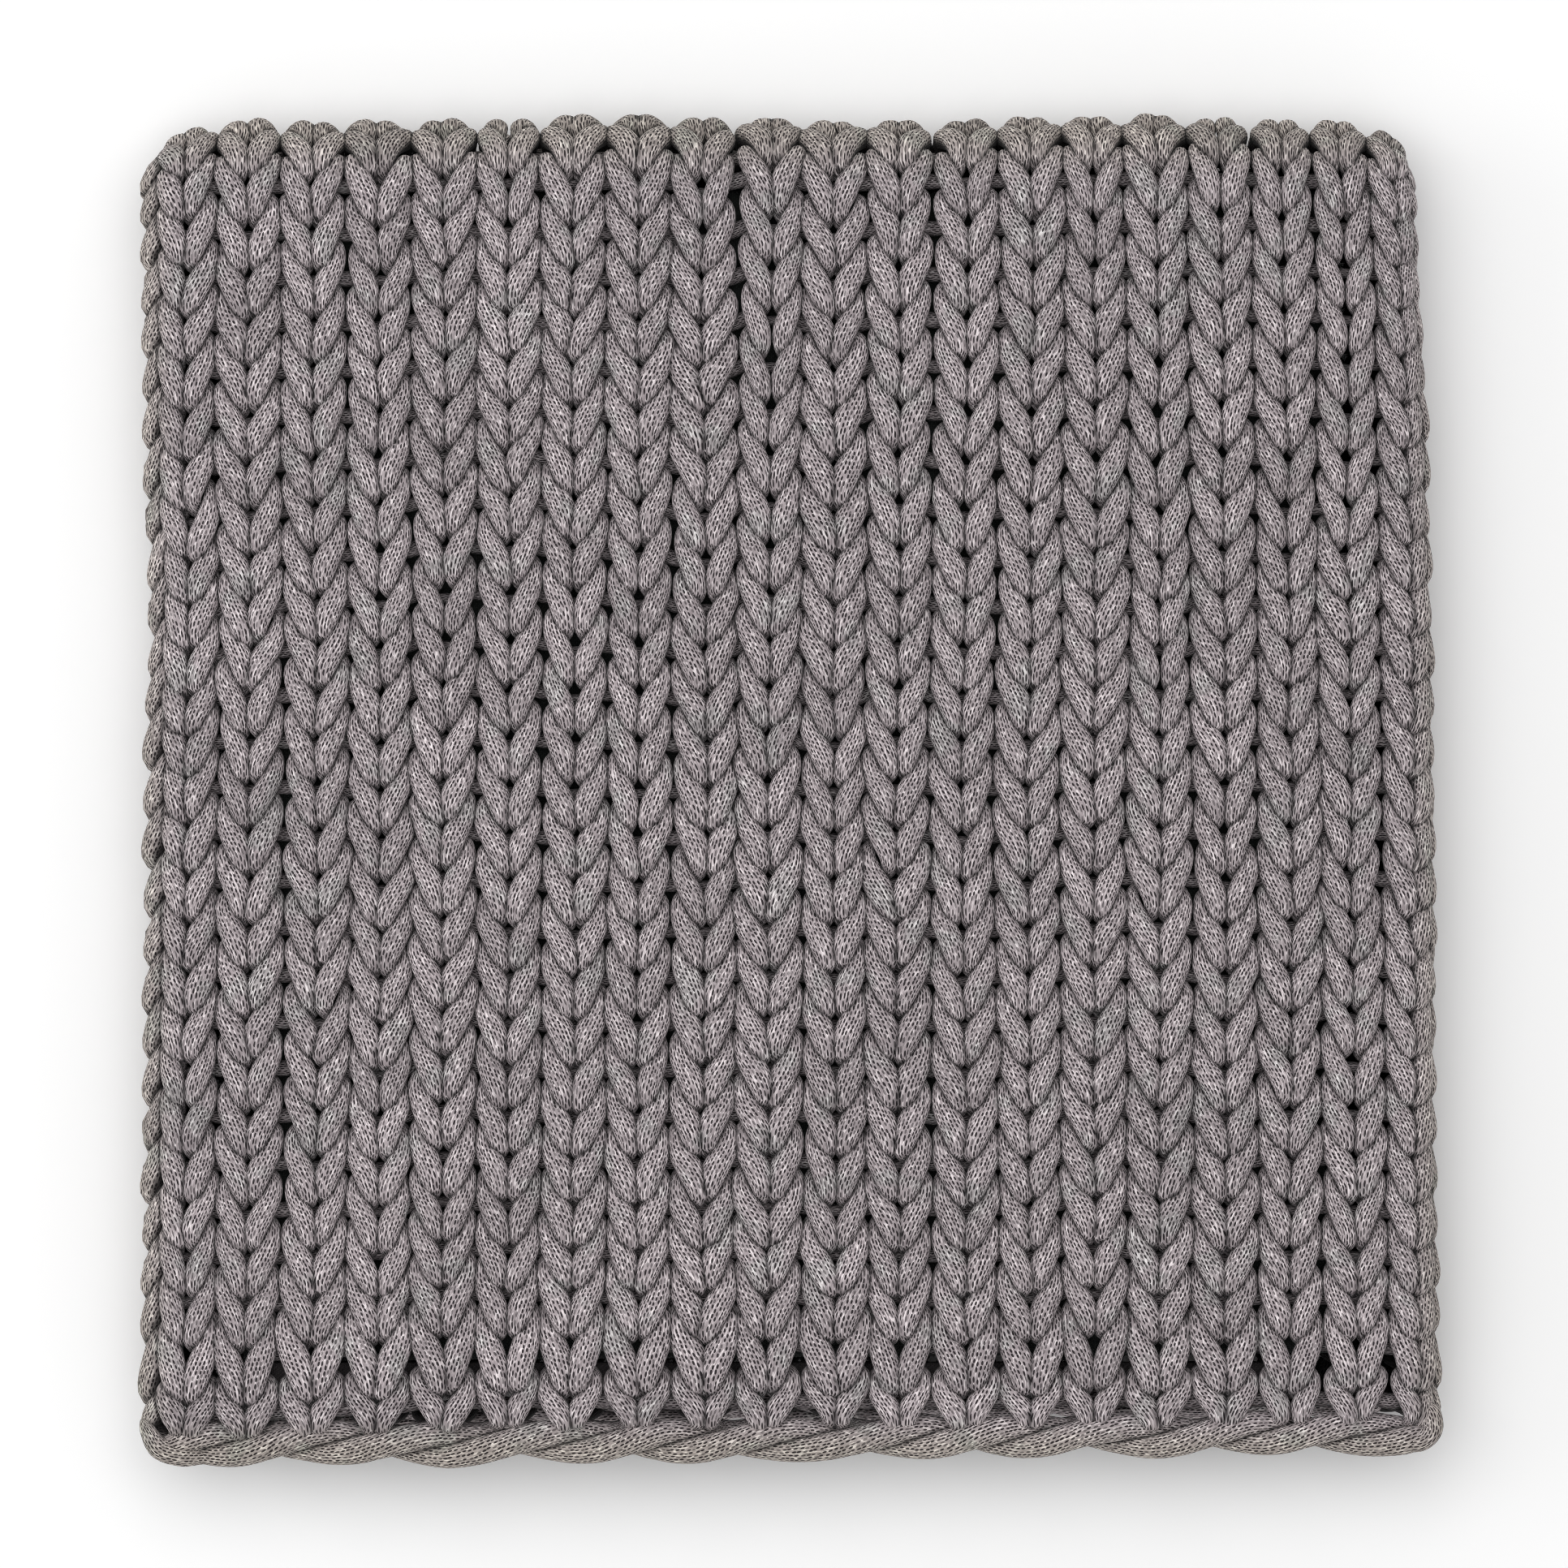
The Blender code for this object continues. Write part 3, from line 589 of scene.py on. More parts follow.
for first in range(0, rows, BAND):
    tubes = Tubes()
    last = min(first + BAND, rows)
    for j in range(first, last):
        s, t, n, wide, thick, tone = paths[j]
        points, outward = on_cover(s, t, n)
        rings = sweep(points, outward, wide, thick)
        rise = ring_rise(SIDES)[None, :]
        # Painted shade: points deep in the knit, on the inner flanks of the tube and close against
        # another strand are darkened in the colour.
        deep = np.clip((n[:, None] + thick[:, None] * rise + 19.0 * MM) / (10.0 * MM), 0, 1)
        crease = np.clip((closeness(j, rings) - 0.05 * MM) / (1.5 * MM), 0, 1)
        painted_shade = deep * np.clip((rise + 0.20) / 0.50, 0, 1) * crease
        rings = settled(rings)
        rings[..., 2] = np.maximum(rings[..., 2], LEAST_HEIGHT)
        cells = cells_of(rings, STEPS, (j - first) * WALES)
        tubes.add(rings, cells, tone, loop_offset=0.37 * j, painted_shade=painted_shade)
    band_middle = lines[(first + last - 1) // 2]
    if band_middle < Y_FOLD:
        node, word = "knit_front_panel", "front_courses"
    elif band_middle < fold_end:
        node, word = "knit_top_fold", "fold_courses"
    else:
        node, word = "knit_back_panel", "back_courses"
    ob = finish_piece(tubes.build(f"{word}_{first + 1:02d}_to_{last:02d}", YARN), "yarn", node)


# ---------------------------------------------------------------- chains along the two ends
def curve_through(knots, count):
    """Points along a smooth curve through the knots."""
    knots = np.array(knots, float)
    p = np.vstack([2 * knots[0] - knots[1], knots, 2 * knots[-1] - knots[-2]])
    u = np.linspace(0, len(knots) - 1 - 1e-9, count)
    i = u.astype(int)
    f = (u - i)[:, None]
    a, b, c, d = p[i], p[i + 1], p[i + 2], p[i + 3]
    bend = 2 * a - 5 * b + 4 * c - d
    return 0.5 * (2 * b + (c - a) * f + bend * f**2 + (3 * b - a - 3 * c + d) * f**3)


def strand_gap(rings, centre, radius):
    """Gap between each point of a tube and another strand."""
    points = rings.reshape(-1, 3)
    square = (points**2).sum(-1)[:, None] + (centre**2).sum(-1)[None, :] - 2 * points @ centre.T
    return (np.sqrt(np.maximum(square, 0)) - radius[None, :]).min(1).reshape(rings.shape[:2])


def facing(rings):
    """How far each point of a ring lies outwards, from 0 at the flanks to 1 on top, used as painted
    shade on the flanks.
    """
    share = np.clip((ring_rise(rings.shape[1]) + 0.10) / 0.50, 0, 1)
    return np.broadcast_to(share[None, :], rings.shape[:2])


def wander(random, share, count):
    """A random value that drifts along a piece, through so many points."""
    return np.interp(share, np.linspace(0, 1, count), random.normal(size=count))


def yarn_piece(knots, count, places, radii, face):
    """Rings of a short free piece of yarn through the knots, with its radii in millimetres."""
    size = np.interp(np.linspace(0, 1, count), places, radii) * MM
    return settled(sweep(curve_through(knots, count), (0.0, -0.2, face), size, size * 0.9))


def chain(low, high, name, node, face, seed, knots):
    """A bound edge of two strands, with a yarn end turned up at the corner.

    Its links rise to the right, and each is tucked behind the next.
    """
    random = np.random.default_rng(seed)
    tubes = Tubes()
    count, per_patch = 700, 50
    strand_patches = count // per_patch
    share = np.linspace(0, 1, count)
    strand = (high.y - low.y) * 0.285
    turn_r = (high.y - low.y) * 0.205
    x = low.x + 5 * MM + (high.x - low.x - 9 * MM) * share
    lengths = random.uniform(0.8, 1.25, 14)
    link_ends = np.concatenate([[0], np.cumsum(lengths)]) / lengths.sum()
    phase = np.interp(share, np.linspace(0, 1, 15), link_ends) * 5.5 * 2 * math.pi
    phase = np.pad(phase, 20, mode="reflect", reflect_type="odd")
    phase = np.convolve(phase, np.ones(41) / 41, mode="valid")
    sway = wander(random, share, 19) * 0.7 * MM
    strands = []
    for start in (0, math.pi):
        t = phase + start
        ends = np.clip(np.minimum(share, 1 - share) / 0.02, 0, 1) ** 0.5
        y = (low.y + high.y) / 2 + sway + ends * turn_r * np.sin(t)
        z = (low.z + high.z) / 2 + face * ends * 0.75 * turn_r * np.cos(t)
        points = np.stack([x, y, z], -1)
        outward = unit(np.stack([0 * t, 0.45 * np.sin(t), np.full(count, face)], -1))
        leaf = np.clip((np.cos(t) + 0.55) / 1.3, 0, 1)
        wide = strand * (0.84 + 0.20 * leaf) * (0.55 + 0.45 * ends)
        strands.append((points, sweep(points, outward, wide, wide * 0.95), wide))
    for number, start in enumerate((0, math.pi)):
        _, rings, _ = strands[number]
        centre, _, width = strands[1 - number]
        # Painted shade where the two strands of the chain press against each other.
        painted_shade = np.clip((strand_gap(rings, centre, width) + 0.1 * MM) / (1.5 * MM), 0.05, 1)
        rings = settled(rings)
        cells = cells_of(rings, per_patch, number * strand_patches)
        tone = wander(random, share, 12) * 0.25
        tubes.add(rings, cells, tone, painted_shade=painted_shade, loop_offset=start)
    end = yarn_piece(knots, 48, [0, 0.15, 0.55, 0.9, 1], [2.6, 4.0, 4.3, 3.4, 1.6], face)
    tubes.add(end, cells_of(end, len(end) - 1, 2 * strand_patches), -0.3, painted_shade=facing(end))
    ob = finish_piece(tubes.build(name, YARN, columns=3), "yarn", node)


corner_x = chain_high.x - 4.6 * MM
corner_z = (chain_low.z + chain_high.z) / 2
chain(
    chain_low, chain_high, "bind_off_links", "front_bind_off_chain", 1.0, 21,
    [
        (corner_x - 16 * MM, chain_low.y + 6.5 * MM, corner_z + 1 * MM),
        (corner_x - 5 * MM, chain_low.y + 5.8 * MM, corner_z + 4 * MM),
        (corner_x + 0.2 * MM, chain_low.y + 10.5 * MM, corner_z + 4 * MM),
        (corner_x - 0.8 * MM, chain_low.y + 18.0 * MM, corner_z + 3 * MM),
        (corner_x - 7 * MM, chain_low.y + 20.0 * MM, corner_z - 2 * MM),
    ],
)
chain(
    cast_low, cast_high, "cast_on_links", "back_cast_on_chain", -1.0, 22,
    [
        (cast_high.x - 14 * MM, cast_low.y + 7 * MM, cast_low.z + 5.5 * MM),
        (cast_high.x - 4 * MM, cast_low.y + 7 * MM, cast_low.z + 5.0 * MM),
        (cast_high.x + 0.5 * MM, cast_low.y + 12 * MM, cast_low.z + 5.5 * MM),
        (cast_high.x - 3 * MM, cast_low.y + 18 * MM, cast_low.z + 7.0 * MM),
    ],
)

tail_low, tail_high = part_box("yarn_tail")
tail_x = (tail_low.x + tail_high.x) / 2
tail_z = (tail_low.z + tail_high.z) / 2
knots = [
    (tail_x - 1.6 * MM, tail_high.y + 1.5 * MM, tail_z + 3.0 * MM),
    (tail_x + 0.6 * MM, tail_high.y - 2.8 * MM, tail_z + 3.2 * MM),
    (tail_x + 5.0 * MM, tail_low.y + 0.5 * MM, tail_z + 2.5 * MM),
    (tail_x + 13.0 * MM, tail_low.y - 2.4 * MM, tail_z + 1.5 * MM),
    (tail_x + 24.0 * MM, tail_low.y - 2.6 * MM, tail_z - 1.0 * MM),
]
rings = yarn_piece(knots, 40, [0, 0.06, 0.22, 0.5, 0.8, 1], [0.8, 1.6, 3.0, 4.6, 4.6, 3.4], 1.0)
tubes = Tubes()
tubes.add(rings, cells_of(rings, len(rings) - 1), -0.1, painted_shade=facing(rings))
tail = finish_piece(tubes.build("yarn_end", YARN, columns=1), "yarn", "yarn_tail")

# ---------------------------------------------------------------- lacing down the two side seams
for side, node in ((-1, "left_seam_yarn"), (1, "right_seam_yarn")):
    seam_low, seam_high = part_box(node)
    turns, turn_steps = 34, 24
    t = np.linspace(0, turns * 2 * math.pi, turns * turn_steps + 1)
    y = np.linspace(seam_low.y + 4 * MM, seam_high.y + 1 * MM, len(t)) + 1.5 * MM * np.sin(2 * t)
    z = MID_Z + 4.0 * MM * np.cos(t)
    x = (seam_low.x + seam_high.x) / 2 - side * (2.2 * MM + 1.4 * MM * np.cos(2 * t))
    points = np.stack([x, y, z], -1)
    radius = 2.3 * MM
    rings = settled(sweep(points, (float(side), 0.0, 0.0), radius, radius, sides=10))
    tubes = Tubes()
    tubes.add(rings, cells_of(rings, 2 * turn_steps), -0.25)
    name = f"seam_lacing_{'left' if side < 0 else 'right'}"
    ob = finish_piece(tubes.build(name, YARN, columns=2), "seam_yarn", node)


# ---------------------------------------------------------------- lining, and woven cloth
def weave_material(name, thread_mm, warp, weft, roughness=0.85, twill=0.0, mottle=0.12):
    """Woven cloth: threads that pass over and under each other, from the map in metres."""
    g = Graph(name)
    uv = g.node("ShaderNodeUVMap", uv_map="yarn").outputs[0]
    p = g.split(uv)
    u = g.math("DIVIDE", p[0], thread_mm * MM)
    v = g.math("DIVIDE", p[1], thread_mm * MM)
    spread_out = g.join(g.math("MULTIPLY", u, 0.22), g.math("MULTIPLY", v, 0.22))
    noise = g.noise({"Vector": spread_out, "Scale": 1.0, "Detail": 3.0}, "2D")
    wobble = g.math("MULTIPLY", g.math("SUBTRACT", noise, 0.5), 0.5)
    u = g.math("ADD", u, wobble)
    v = g.math("ADD", v, wobble)
    iu = g.math("FLOOR", u)
    iv = g.math("FLOOR", v)
    steps = g.math("ADD", iu, g.math("MULTIPLY", iv, 1.0 + twill))
    over = g.math("FLOORED_MODULO", steps, 2.0 + twill)
    over = g.math("LESS_THAN", over, 1.0)
    fu = g.math("SUBTRACT", g.math("FRACT", u), 0.5)
    fv = g.math("SUBTRACT", g.math("FRACT", v), 0.5)
    round_u = g.math("SUBTRACT", 1.0, g.math("MULTIPLY", g.math("MULTIPLY", fu, fu), 3.6))
    round_v = g.math("SUBTRACT", 1.0, g.math("MULTIPLY", g.math("MULTIPLY", fv, fv), 3.6))
    both = g.node("ShaderNodeMix", {0: over, 2: round_u, 3: round_v}).outputs[0]
    colour = g.mix(over, rgb(*weft), rgb(*warp))
    patchy = g.spread(noise, 0.3, 0.7, 1 - mottle, 1 + mottle)
    # Painted shade on each thread's flanks, where it dips under its neighbours, times a random
    # mottle.
    shade = g.math("MULTIPLY", g.spread(both, 0.1, 1.0, 0.45, 1.05), patchy)
    colour = g.mix(1.0, colour, g.join(shade, shade, shade), blend="MULTIPLY")
    g.put(g.shader.inputs["Base Color"], colour)
    g.shader.inputs["Roughness"].default_value = roughness
    g.shader.inputs["Specular IOR Level"].default_value = 0.25
    g.shader.inputs["Sheen Weight"].default_value = 0.1
    g.bump(both, 0.6, thread_mm * 0.3 * MM)
    return g.material


LINING = weave_material(
    "lining_cotton", 0.8, (0.020, 0.024, 0.022), (0.028, 0.032, 0.030), mottle=0.25
)
TICKING = weave_material("insert_ticking", 0.7, (0.74, 0.72, 0.68), (0.66, 0.64, 0.60))
LABEL = weave_material(
    "label_satin", 0.35, (0.80, 0.79, 0.76), (0.70, 0.69, 0.66), roughness=0.5, twill=2.0
)
TAPE = weave_material(
    "zipper_tape_weave", 0.55, (0.125, 0.110, 0.113), (0.090, 0.080, 0.083), twill=1.0
)


def mapped_mesh(name, co, faces, place):
    """A smooth mesh whose map gives each vertex its place, in metres."""
    me = bpy.data.meshes.new(name)
    me.from_pydata(co.tolist(), [], faces.tolist())
    me.update()
    corner = np.empty(len(me.loops), np.int32)
    me.loops.foreach_get("vertex_index", corner)
    uv = me.uv_layers.new(name="yarn").uv
    uv.foreach_set("vector", place[corner].astype(np.float32).ravel())
    me.polygons.foreach_set("use_smooth", np.ones(len(me.polygons), bool))
    me.validate()
    return me


def cloth_sheet(name, points, thickness, material):
    """A closed thin sheet from a grid of points on its middle, with a map in metres."""
    n, m, _ = points.shape
    du = np.gradient(points, axis=0)
    dv = np.gradient(points, axis=1)
    normal = unit(np.cross(du, dv))
    top = (points + normal * thickness / 2).reshape(-1, 3)
    bottom = (points - normal * thickness / 2).reshape(-1, 3)
    co = np.concatenate([top, bottom])
    i = np.arange(n - 1)[:, None]
    j = np.arange(m - 1)[None, :]
    a = (i * m + j).reshape(-1)
    upper = np.stack([a, a + m, a + m + 1, a + 1], -1)
    lower = upper[:, ::-1] + n * m
    last_row = (n - 1) * m
    rim = np.concatenate(
        [
            np.arange(m - 1),
            np.arange(m - 1, n * m - 1, m),
            np.arange(n * m - 1, last_row, -1),
            np.arange(last_row, 0, -m),
        ]
    )
    after = np.roll(rim, -1)
    edge = np.stack([rim, after, after + n * m, rim + n * m], -1)
    faces = np.concatenate([upper, lower, edge])
    u = lengths_along(points[:, m // 2])
    v = lengths_along(points[n // 2])
    place = np.stack(np.meshgrid(u, v, indexing="ij"), -1).reshape(-1, 2)
    place = np.concatenate([place, place])
    return new_object(name, mapped_mesh(name, co, faces, place), material)


def crumple(x, y, size, seed):
    """Soft low folds in a cloth that lies inside the cover."""
    random = np.random.default_rng(seed)
    out = np.zeros_like(x)
    for k in range(9):
        angle = random.uniform(0, math.pi)
        wave = random.uniform(45, 130)
        out += np.sin((x * math.cos(angle) + y * math.sin(angle)) * wave + random.uniform(0, 6)) / 9
    return out * size


for word, node, way in (("front", "lining_front", 1), ("back", "lining_back", -1)):
    low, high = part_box(node)
    u = np.linspace(-1, 1, 74)
    u = np.sign(u) * (1 - (1 - np.abs(u)) ** 1.35)
    middle_y, half_y = (low.y + high.y) / 2, (high.y - low.y) / 2
    x, y = np.meshgrid(u * high.x, middle_y + u * half_y, indexing="ij")
    border = np.minimum(high.x - np.abs(x), np.minimum(y - low.y, high.y - y))
    lift = 1 - (1 - np.clip(border / (16 * MM), 0, 1)) ** 2.4
    if way > 0:
        near = low.z + 0.6 * MM
        far = high.z - CROWN + crown(x, y)[0] - 1.4 * MM + crumple(x, y, 1.0 * MM, 5)
    else:
        near = high.z - 0.6 * MM
        far = low.z + 0.7 * MM + np.abs(crumple(x, y, 0.7 * MM, 6))
    points = settled(np.stack([x, y, near + (far - near) * lift], -1))
    cloth = cloth_sheet(f"lining_{word}_cloth", points, 0.8 * MM, LINING)
    finish_piece(cloth, "lining", node)

# ---------------------------------------------------------------- insert, blown up as cloth
shell_low, shell_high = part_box("insert_shell_front")
under_low, under_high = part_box("insert_shell_back")


def rounded(u, v, low, high):
    """Places on a rectangle whose corners are rounded off, from -1 to 1 each way."""
    draw = np.sqrt(1 - 0.16 * v**4 * u**4)
    x = (low.x + high.x) / 2 + (high.x - low.x) / 2 * u * draw
    y = (low.y + high.y) / 2 + (high.y - low.y) / 2 * v * draw
    return x, y


def pillow_form(name, material, low, high, top, bottom, cells):
    """A closed cushion, and the vertices of its rim, which its two crowned skins share."""
    u = np.linspace(-1, 1, cells + 1)
    u = np.sign(u) * (1 - (1 - np.abs(u)) ** 1.3)
    uu, vv = np.meshgrid(u, u, indexing="ij")
    x, y = rounded(uu, vv, low, high)
    puff = (1 - np.abs(uu) ** 3.2) * (1 - np.abs(vv) ** 3.2)
    puff = np.maximum(puff, 0) ** 0.6
    n = cells + 1
    index = np.arange(n * n).reshape(n, n)
    rim = (np.abs(uu) >= 1) | (np.abs(vv) >= 1)
    lower = index.copy().reshape(-1)
    inner = ~rim.reshape(-1)
    lower[inner] = n * n + np.arange(inner.sum())
    lower = lower.reshape(n, n)
    skins = [
        np.stack([x, y, MID_Z + puff * (end - MID_Z)], -1).reshape(-1, 3) for end in (top, bottom)
    ]
    co = np.concatenate([skins[0], skins[1][inner]])
    squares = lambda g: np.stack([g[:-1, :-1], g[1:, :-1], g[1:, 1:], g[:-1, 1:]], -1)
    faces = [squares(index).reshape(-1, 4), squares(lower).reshape(-1, 4)[:, ::-1]]
    faces = np.concatenate(faces)
    ob = new_object(name, mapped_mesh(name, co, faces, co[:, :2]), material)
    return ob, np.nonzero(rim.reshape(-1))[0]


def points_of(ob):
    co = np.empty(len(ob.data.vertices) * 3, np.float32)
    ob.data.vertices.foreach_get("co", co)
    return co.reshape(-1, 3).astype(float)


shell_top, shell_bottom = shell_high.z - 6 * MM, under_low.z + 1.5 * MM
shell, rim = pillow_form(
    "insert_shell", TICKING, shell_low, shell_high, shell_top, shell_bottom, cells=44
)
rest = points_of(shell)
last_frame = 20
group = shell.vertex_groups.new(name="seam")
group.add(rim.tolist(), 1.0, "REPLACE")
cloth = shell.modifiers.new("cloth", "CLOTH")
cloth.settings.vertex_group_mass = "seam"
cloth.settings.quality = 4
cloth.settings.use_pressure = True
cloth.settings.uniform_pressure_force = 1.2
cloth.settings.tension_stiffness = 12
cloth.settings.compression_stiffness = 12
cloth.settings.shear_stiffness = 4
cloth.settings.bending_stiffness = 0.05
cloth.settings.shrink_min = -0.035
cloth.settings.effector_weights.gravity = 0
cloth.point_cache.frame_end = last_frame
for number in range(1, last_frame + 1):
    bpy.context.scene.frame_set(number)
blown = points_of(shell.evaluated_get(bpy.context.evaluated_depsgraph_get()))
shell.modifiers.remove(cloth)
shell.vertex_groups.clear()
bpy.context.scene.frame_set(1)
move = blown - rest
far = np.linalg.norm(move, axis=1, keepdims=True)
move *= np.minimum(1, 7 * MM / np.maximum(far, 1e-9))
rest = rest + np.nan_to_num(move)
rest[:, 0] = np.clip(rest[:, 0], shell_low.x, shell_high.x)
rest[:, 1] = np.clip(rest[:, 1], shell_low.y, shell_high.y)
ceiling = shell_high.z - CROWN + crown(rest[:, 0], rest[:, 1])[0] - 0.3 * MM
rest[:, 2] = np.clip(rest[:, 2], under_low.z + 0.4 * MM, ceiling)
shell.data.vertices.foreach_set("co", settled(rest).astype(np.float32).ravel())
shell.data.update()
fine = shell.modifiers.new("fine", "SUBSURF")
fine.levels = fine.render_levels = 1
finish_piece(shell, "ticking", "insert_shell_front", "insert_shell_back")

g = Graph("polyester_wadding")
where = g.node("ShaderNodeTexCoord").outputs["Object"]
fluff = g.noise(
    {"Vector": where, "Scale": 160.0, "Detail": 6.0, "Roughness": 0.7, "Distortion": 1.5}
)
tufts = g.mix(g.spread(fluff, 0.3, 0.7), rgb(0.62, 0.62, 0.60), rgb(0.86, 0.86, 0.84))
g.put(g.shader.inputs["Base Color"], tufts)
g.shader.inputs["Roughness"].default_value = 1.0
g.shader.inputs["Sheen Weight"].default_value = 0.3
g.bump(fluff, 1.0, 1.5 * MM)
fill_low, fill_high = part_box("insert_filling")
fill_top, fill_bottom = fill_high.z - 6 * MM, fill_low.z + 1.2 * MM
filling, _ = pillow_form(
    "insert_wadding", g.material, fill_low, fill_high, fill_top, fill_bottom, cells=60
)
core = points_of(filling)
swell = 0.8 * MM * np.sin(core[:, 0] * 90 + 2 * np.sin(core[:, 1] * 60))
swell = swell * np.cos(core[:, 1] * 75 + 1.5 * np.sin(core[:, 0] * 50))
core[:, 2] += swell * np.sign(core[:, 2] - MID_Z) * (np.abs(core[:, 2] - MID_Z) > 2 * MM)
core[:, 2] = np.clip(core[:, 2], fill_low.z + 0.4 * MM, None)
filling.data.vertices.foreach_set("co", settled(core).astype(np.float32).ravel())
finish_piece(filling, "filling", "insert_filling")

# ---------------------------------------------------------------- small woven and sewn pieces
THREAD = weave_material(
    "polyester_thread", 0.25, (0.55, 0.53, 0.50), (0.45, 0.43, 0.40), twill=2.0
)
UP = (0.0, 0.0, 1.0)
bind_low, bind_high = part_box("insert_edge_binding")
inset = 0.9 * MM
corner_power = 9
angle = np.linspace(0, 2 * math.pi, 401)
c, s = np.cos(angle), np.sin(angle)
reach = 1 / (np.abs(c) ** corner_power + np.abs(s) ** corner_power) ** (1 / corner_power)
x = c * reach * (bind_high.x - inset)
y = (bind_low.y + bind_high.y) / 2 + s * reach * ((bind_high.y - bind_low.y) / 2 - inset)
path = np.stack([x, y, np.full(len(angle), MID_Z)], -1)
size = 0.75 * MM * (1 + 0.08 * np.sin(np.arange(len(angle)) * 2.1))
rings = settled(sweep(path, UP, size, size, sides=8))
tubes = Tubes()
tubes.add(rings, cells_of(rings, 50))
bound = tubes.build("insert_overlock", THREAD, columns=2)
finish_piece(bound, "thread", "insert_edge_binding")

low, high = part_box("care_label")
x, y = np.meshgrid(np.linspace(low.x, high.x, 30), np.linspace(low.y, high.y, 14), indexing="ij")
wave = 0.25 * MM * np.sin((x - low.x) * 130) * ((y - low.y) / (high.y - low.y)) ** 2
z = (low.z + high.z) / 2 + wave
label = cloth_sheet("care_label_cloth", np.stack([x, y, z], -1), 0.3 * MM, LABEL)
finish_piece(label, "label", "care_label")

for word, node, way in (("front", "zipper_tape_front", 1), ("back", "zipper_tape_back", -1)):
    low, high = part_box(node)
    hem = high.z - 0.3 * MM if way > 0 else low.z + 0.3 * MM
    lip = low.z if way > 0 else high.z
    corner = 2.0 * MM
    face_y = low.y + 0.3 * MM
    profile = [(face_y, lip), (face_y, hem - way * corner)]
    for a in np.linspace(0, math.pi / 2, 7)[1:]:
        bend_y = face_y + corner * (1 - math.cos(a))
        profile.append((bend_y, hem - way * corner * (1 - math.sin(a))))
    straight = np.linspace(0, high.y - face_y - corner, 6)[1:]
    profile += [(face_y + corner + run, hem) for run in straight]
    profile = np.array(profile)
    xs = np.linspace(low.x, high.x, 160)
    ripple = 0.12 * MM * np.sin(xs * 85) + 0.08 * MM * np.sin(xs * 210 + 1)
    points = np.zeros((len(xs), len(profile), 3))
    points[..., 0] = xs[:, None]
    points[..., 1] = profile[None, :, 0] + ripple[:, None] * np.linspace(0, 0.5, len(profile))
    points[..., 2] = profile[None, :, 1]
    tape = cloth_sheet(f"zipper_tape_{word}_weave", points, 0.55 * MM, TAPE)
    finish_piece(tape, "zipper_tape", node)


def plain_material(name, colour, roughness, metallic=0.0):
    """Moulded or plated stuff with fine unevenness in its tone and polish."""
    g = Graph(name)
    where = g.node("ShaderNodeTexCoord").outputs["Object"]
    scale = 900.0
    fine = g.noise({"Vector": where, "Scale": scale, "Detail": 4.0})
    broad = g.noise({"Vector": where, "Scale": scale / 7, "Detail": 2.0})
    dim = rgb(*(0.7 * c for c in colour))
    g.put(g.shader.inputs["Base Color"], g.mix(g.spread(broad, 0.35, 0.65), rgb(*colour), dim))
    polish = g.spread(fine, 0.3, 0.7, roughness * 0.75, roughness * 1.35)
    g.put(g.shader.inputs["Roughness"], polish)
    g.shader.inputs["Metallic"].default_value = metallic
    g.bump(fine, 0.25, 0.1 * MM)
    return g.material


COIL = plain_material("zipper_coil_nylon", (0.13, 0.12, 0.122), 0.4)
NICKEL = plain_material("brushed_nickel", (0.62, 0.60, 0.57), 0.32, metallic=1.0)

for word, node, way in (("front", "zipper_coil_front", 1), ("back", "zipper_coil_back", -1)):
    low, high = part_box(node)
    tooth_pitch = 1.5 * MM
    wire = 0.33 * MM
    middle_y, middle_z = (low.y + high.y) / 2, (low.z + high.z) / 2
    turns = int((high.x - low.x - 1 * MM) / tooth_pitch)
    t = np.linspace(0, turns * 2 * math.pi, turns * 14 + 1)
    phase = 0 if way > 0 else math.pi
    away_y = ((high.y - low.y) / 2 - 0.35 * MM) * np.sin(t + phase)
    away_z = ((high.z - low.z) / 2 - 0.35 * MM) * np.cos(t + phase) * way
    x = low.x + 0.5 * MM + tooth_pitch * t / (2 * math.pi)
    points = np.stack([x, middle_y + away_y, middle_z + away_z], -1)
    outward = unit(np.stack([0 * x, away_y, away_z], -1))
    rings = sweep(points, outward, wire, wire, sides=6, power=2.0)
    tubes = Tubes()
    tubes.add(rings, cells_of(rings, 560))
    finish_piece(tubes.build(f"zipper_teeth_{word}", COIL, columns=1), "zipper_coil", node)

for word, node in (("front", "tape_stitching_front"), ("back", "tape_stitching_back")):
    low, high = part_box(node)
    count = int((high.x - low.x) / (2.8 * MM))
    t = np.linspace(0, count * 2 * math.pi, count * 14 + 1)
    x = np.linspace(low.x + 0.5 * MM, high.x - 0.5 * MM, len(t))
    y = np.full(len(t), (low.y + high.y) / 2)
    z = (low.z + high.z) / 2 + 0.16 * MM * np.tanh(3 * np.cos(t))
    size = (0.13 + 0.10 * np.clip(np.cos(t) + 0.6, 0, 1)) * MM
    rings = sweep(np.stack([x, y, z], -1), UP, size, size, sides=6, power=2.0)
    tubes = Tubes()
    tubes.add(rings, cells_of(rings, 280))
    stitched = finish_piece(tubes.build(f"tape_stitches_{word}", THREAD, columns=1), "thread", node)

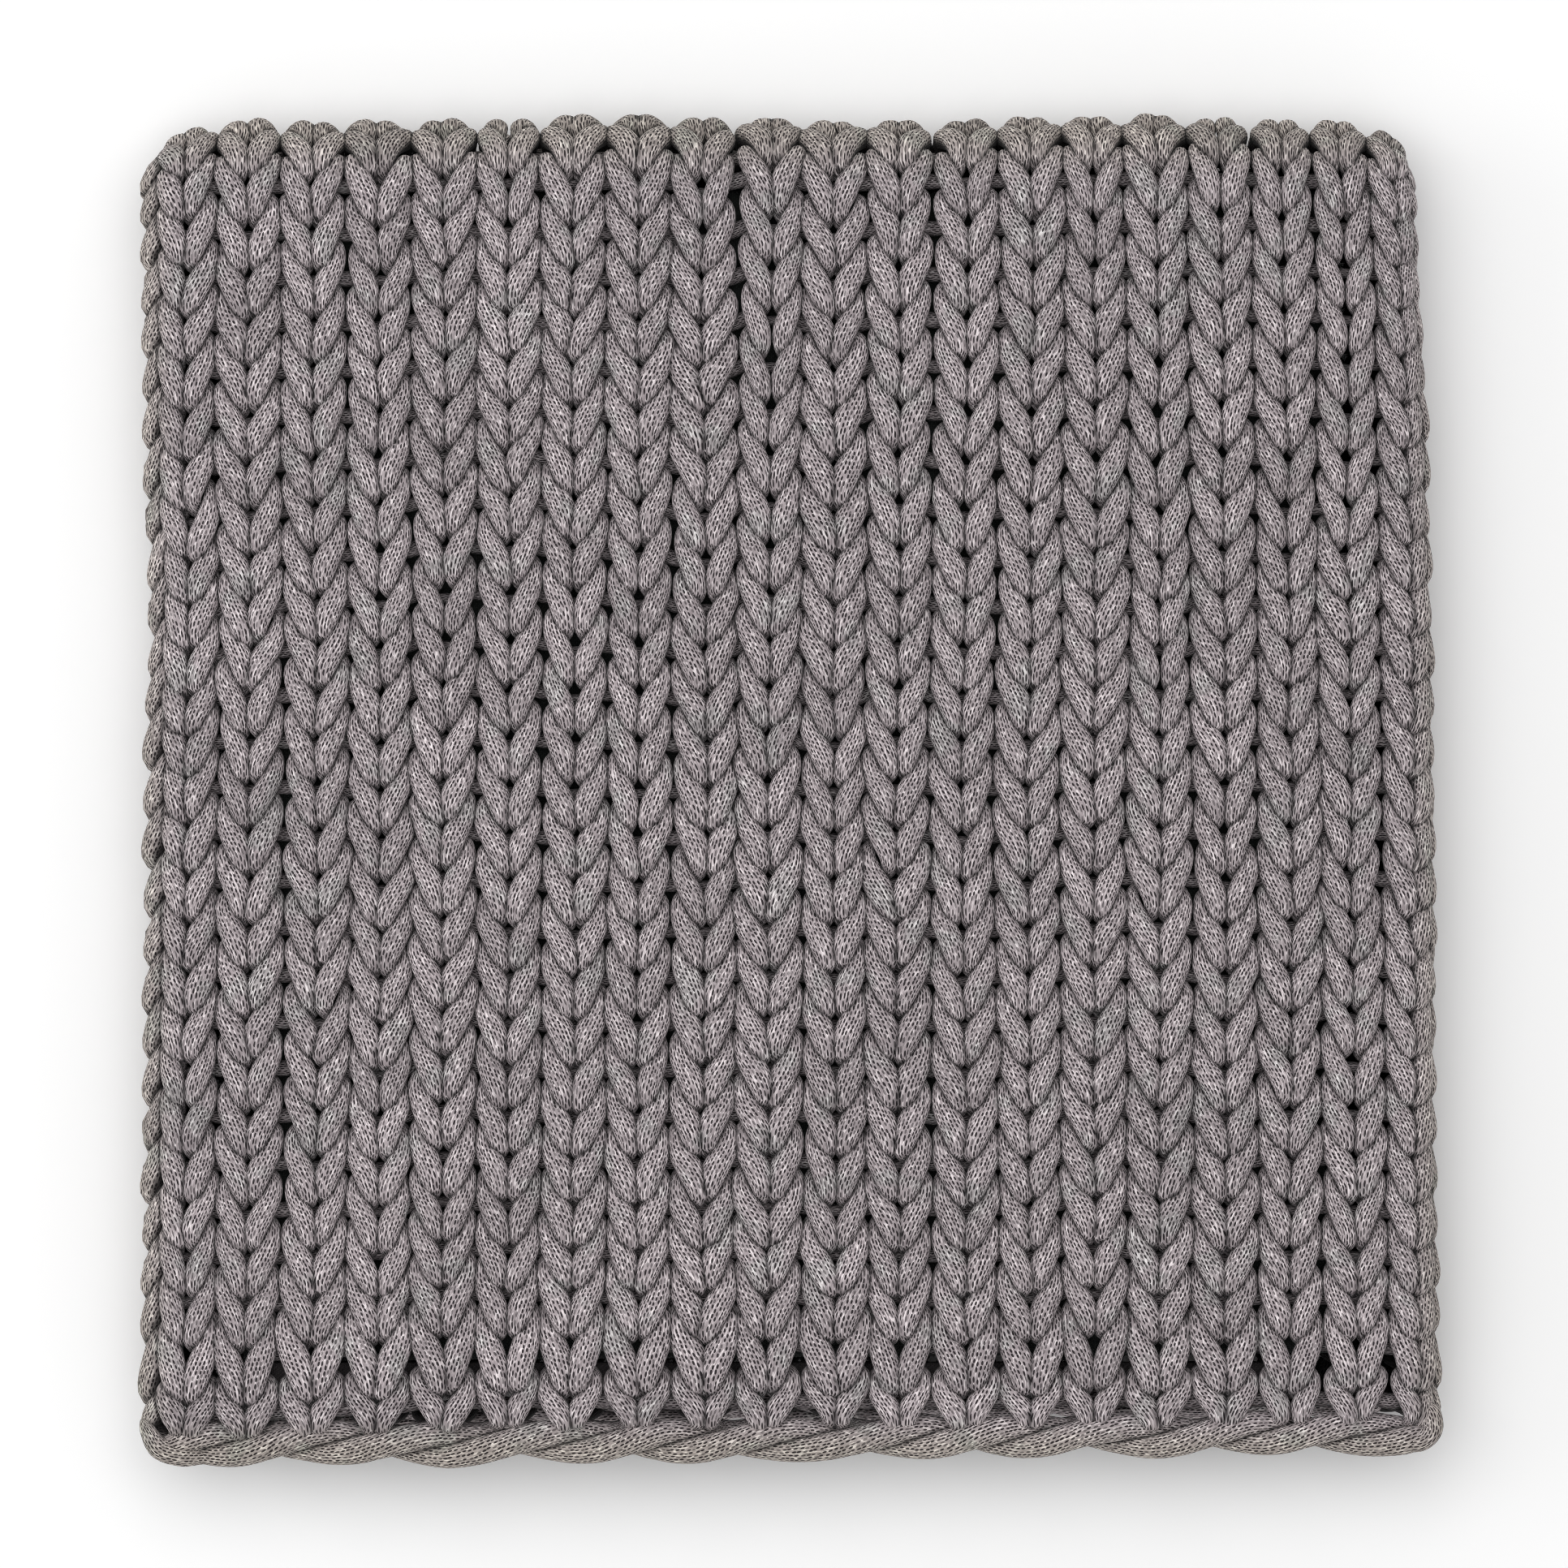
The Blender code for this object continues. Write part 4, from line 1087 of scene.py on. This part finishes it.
for node in (
    "zipper_slider",
    "zipper_pull_tab",
    "zipper_bottom_stop",
    "zipper_top_stop_front",
    "zipper_top_stop_back",
):
    for material_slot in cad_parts[node].material_slots:
        material_slot.material = NICKEL

# ---------------------------------------------------------------- camera, light and floor
FRAME_WIDTH = 0.6095
CAMERA_ABOVE = 6.0
camera = bpy.data.cameras.new("camera")
camera.sensor_width = 36.0
camera.lens = camera.sensor_width * CAMERA_ABOVE / FRAME_WIDTH
camera.clip_end = 50
camera_object = bpy.data.objects.new("camera", camera)
camera_object.location = (-2.8 * MM, 3.5 * MM, CAMERA_ABOVE + EDGE_Z + CROWN / 2)
bpy.context.scene.collection.objects.link(camera_object)
bpy.context.scene.camera = camera_object


def area_light(name, place, size, power):
    """A soft square light that points at the pillow."""
    light = bpy.data.lights.new(name, "AREA")
    light.shape = "SQUARE"
    light.size = size
    light.energy = power
    ob = bpy.data.objects.new(name, light)
    ob.location = place
    ob.rotation_euler = (-Vector(place)).to_track_quat("-Z", "Y").to_euler()
    bpy.context.scene.collection.objects.link(ob)


area_light("overhead", (-0.35, 0.45, 3.0), 2.8, 50)
area_light("left_fill", (-2.4, 0.3, 1.3), 1.6, 12)

world = bpy.data.worlds.new("world")
world.use_nodes = True
background = world.node_tree.nodes["Background"]
background.inputs["Color"].default_value = (1, 1, 1, 1)
background.inputs["Strength"].default_value = 0.64
bpy.context.scene.world = world

floor_white = Graph("floor_white")
floor_white.shader.inputs["Base Color"].default_value = (0.93, 0.93, 0.93, 1)
floor_white.shader.inputs["Roughness"].default_value = 0.95
FLOOR_REACH, FLOOR_Z = 6, -0.6 * MM
signs = ((-1, -1), (1, -1), (1, 1), (-1, 1))
corners = [(x * FLOOR_REACH, y * FLOOR_REACH, FLOOR_Z) for x, y in signs]
floor_mesh = bpy.data.meshes.new("floor")
floor_mesh.from_pydata(corners, [], [(0, 1, 2, 3)])
new_object("floor", floor_mesh, floor_white.material)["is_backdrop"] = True

bpy.context.scene.view_settings.view_transform = "Standard"
bpy.context.scene.cycles.filter_width = 1.0

low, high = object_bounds()
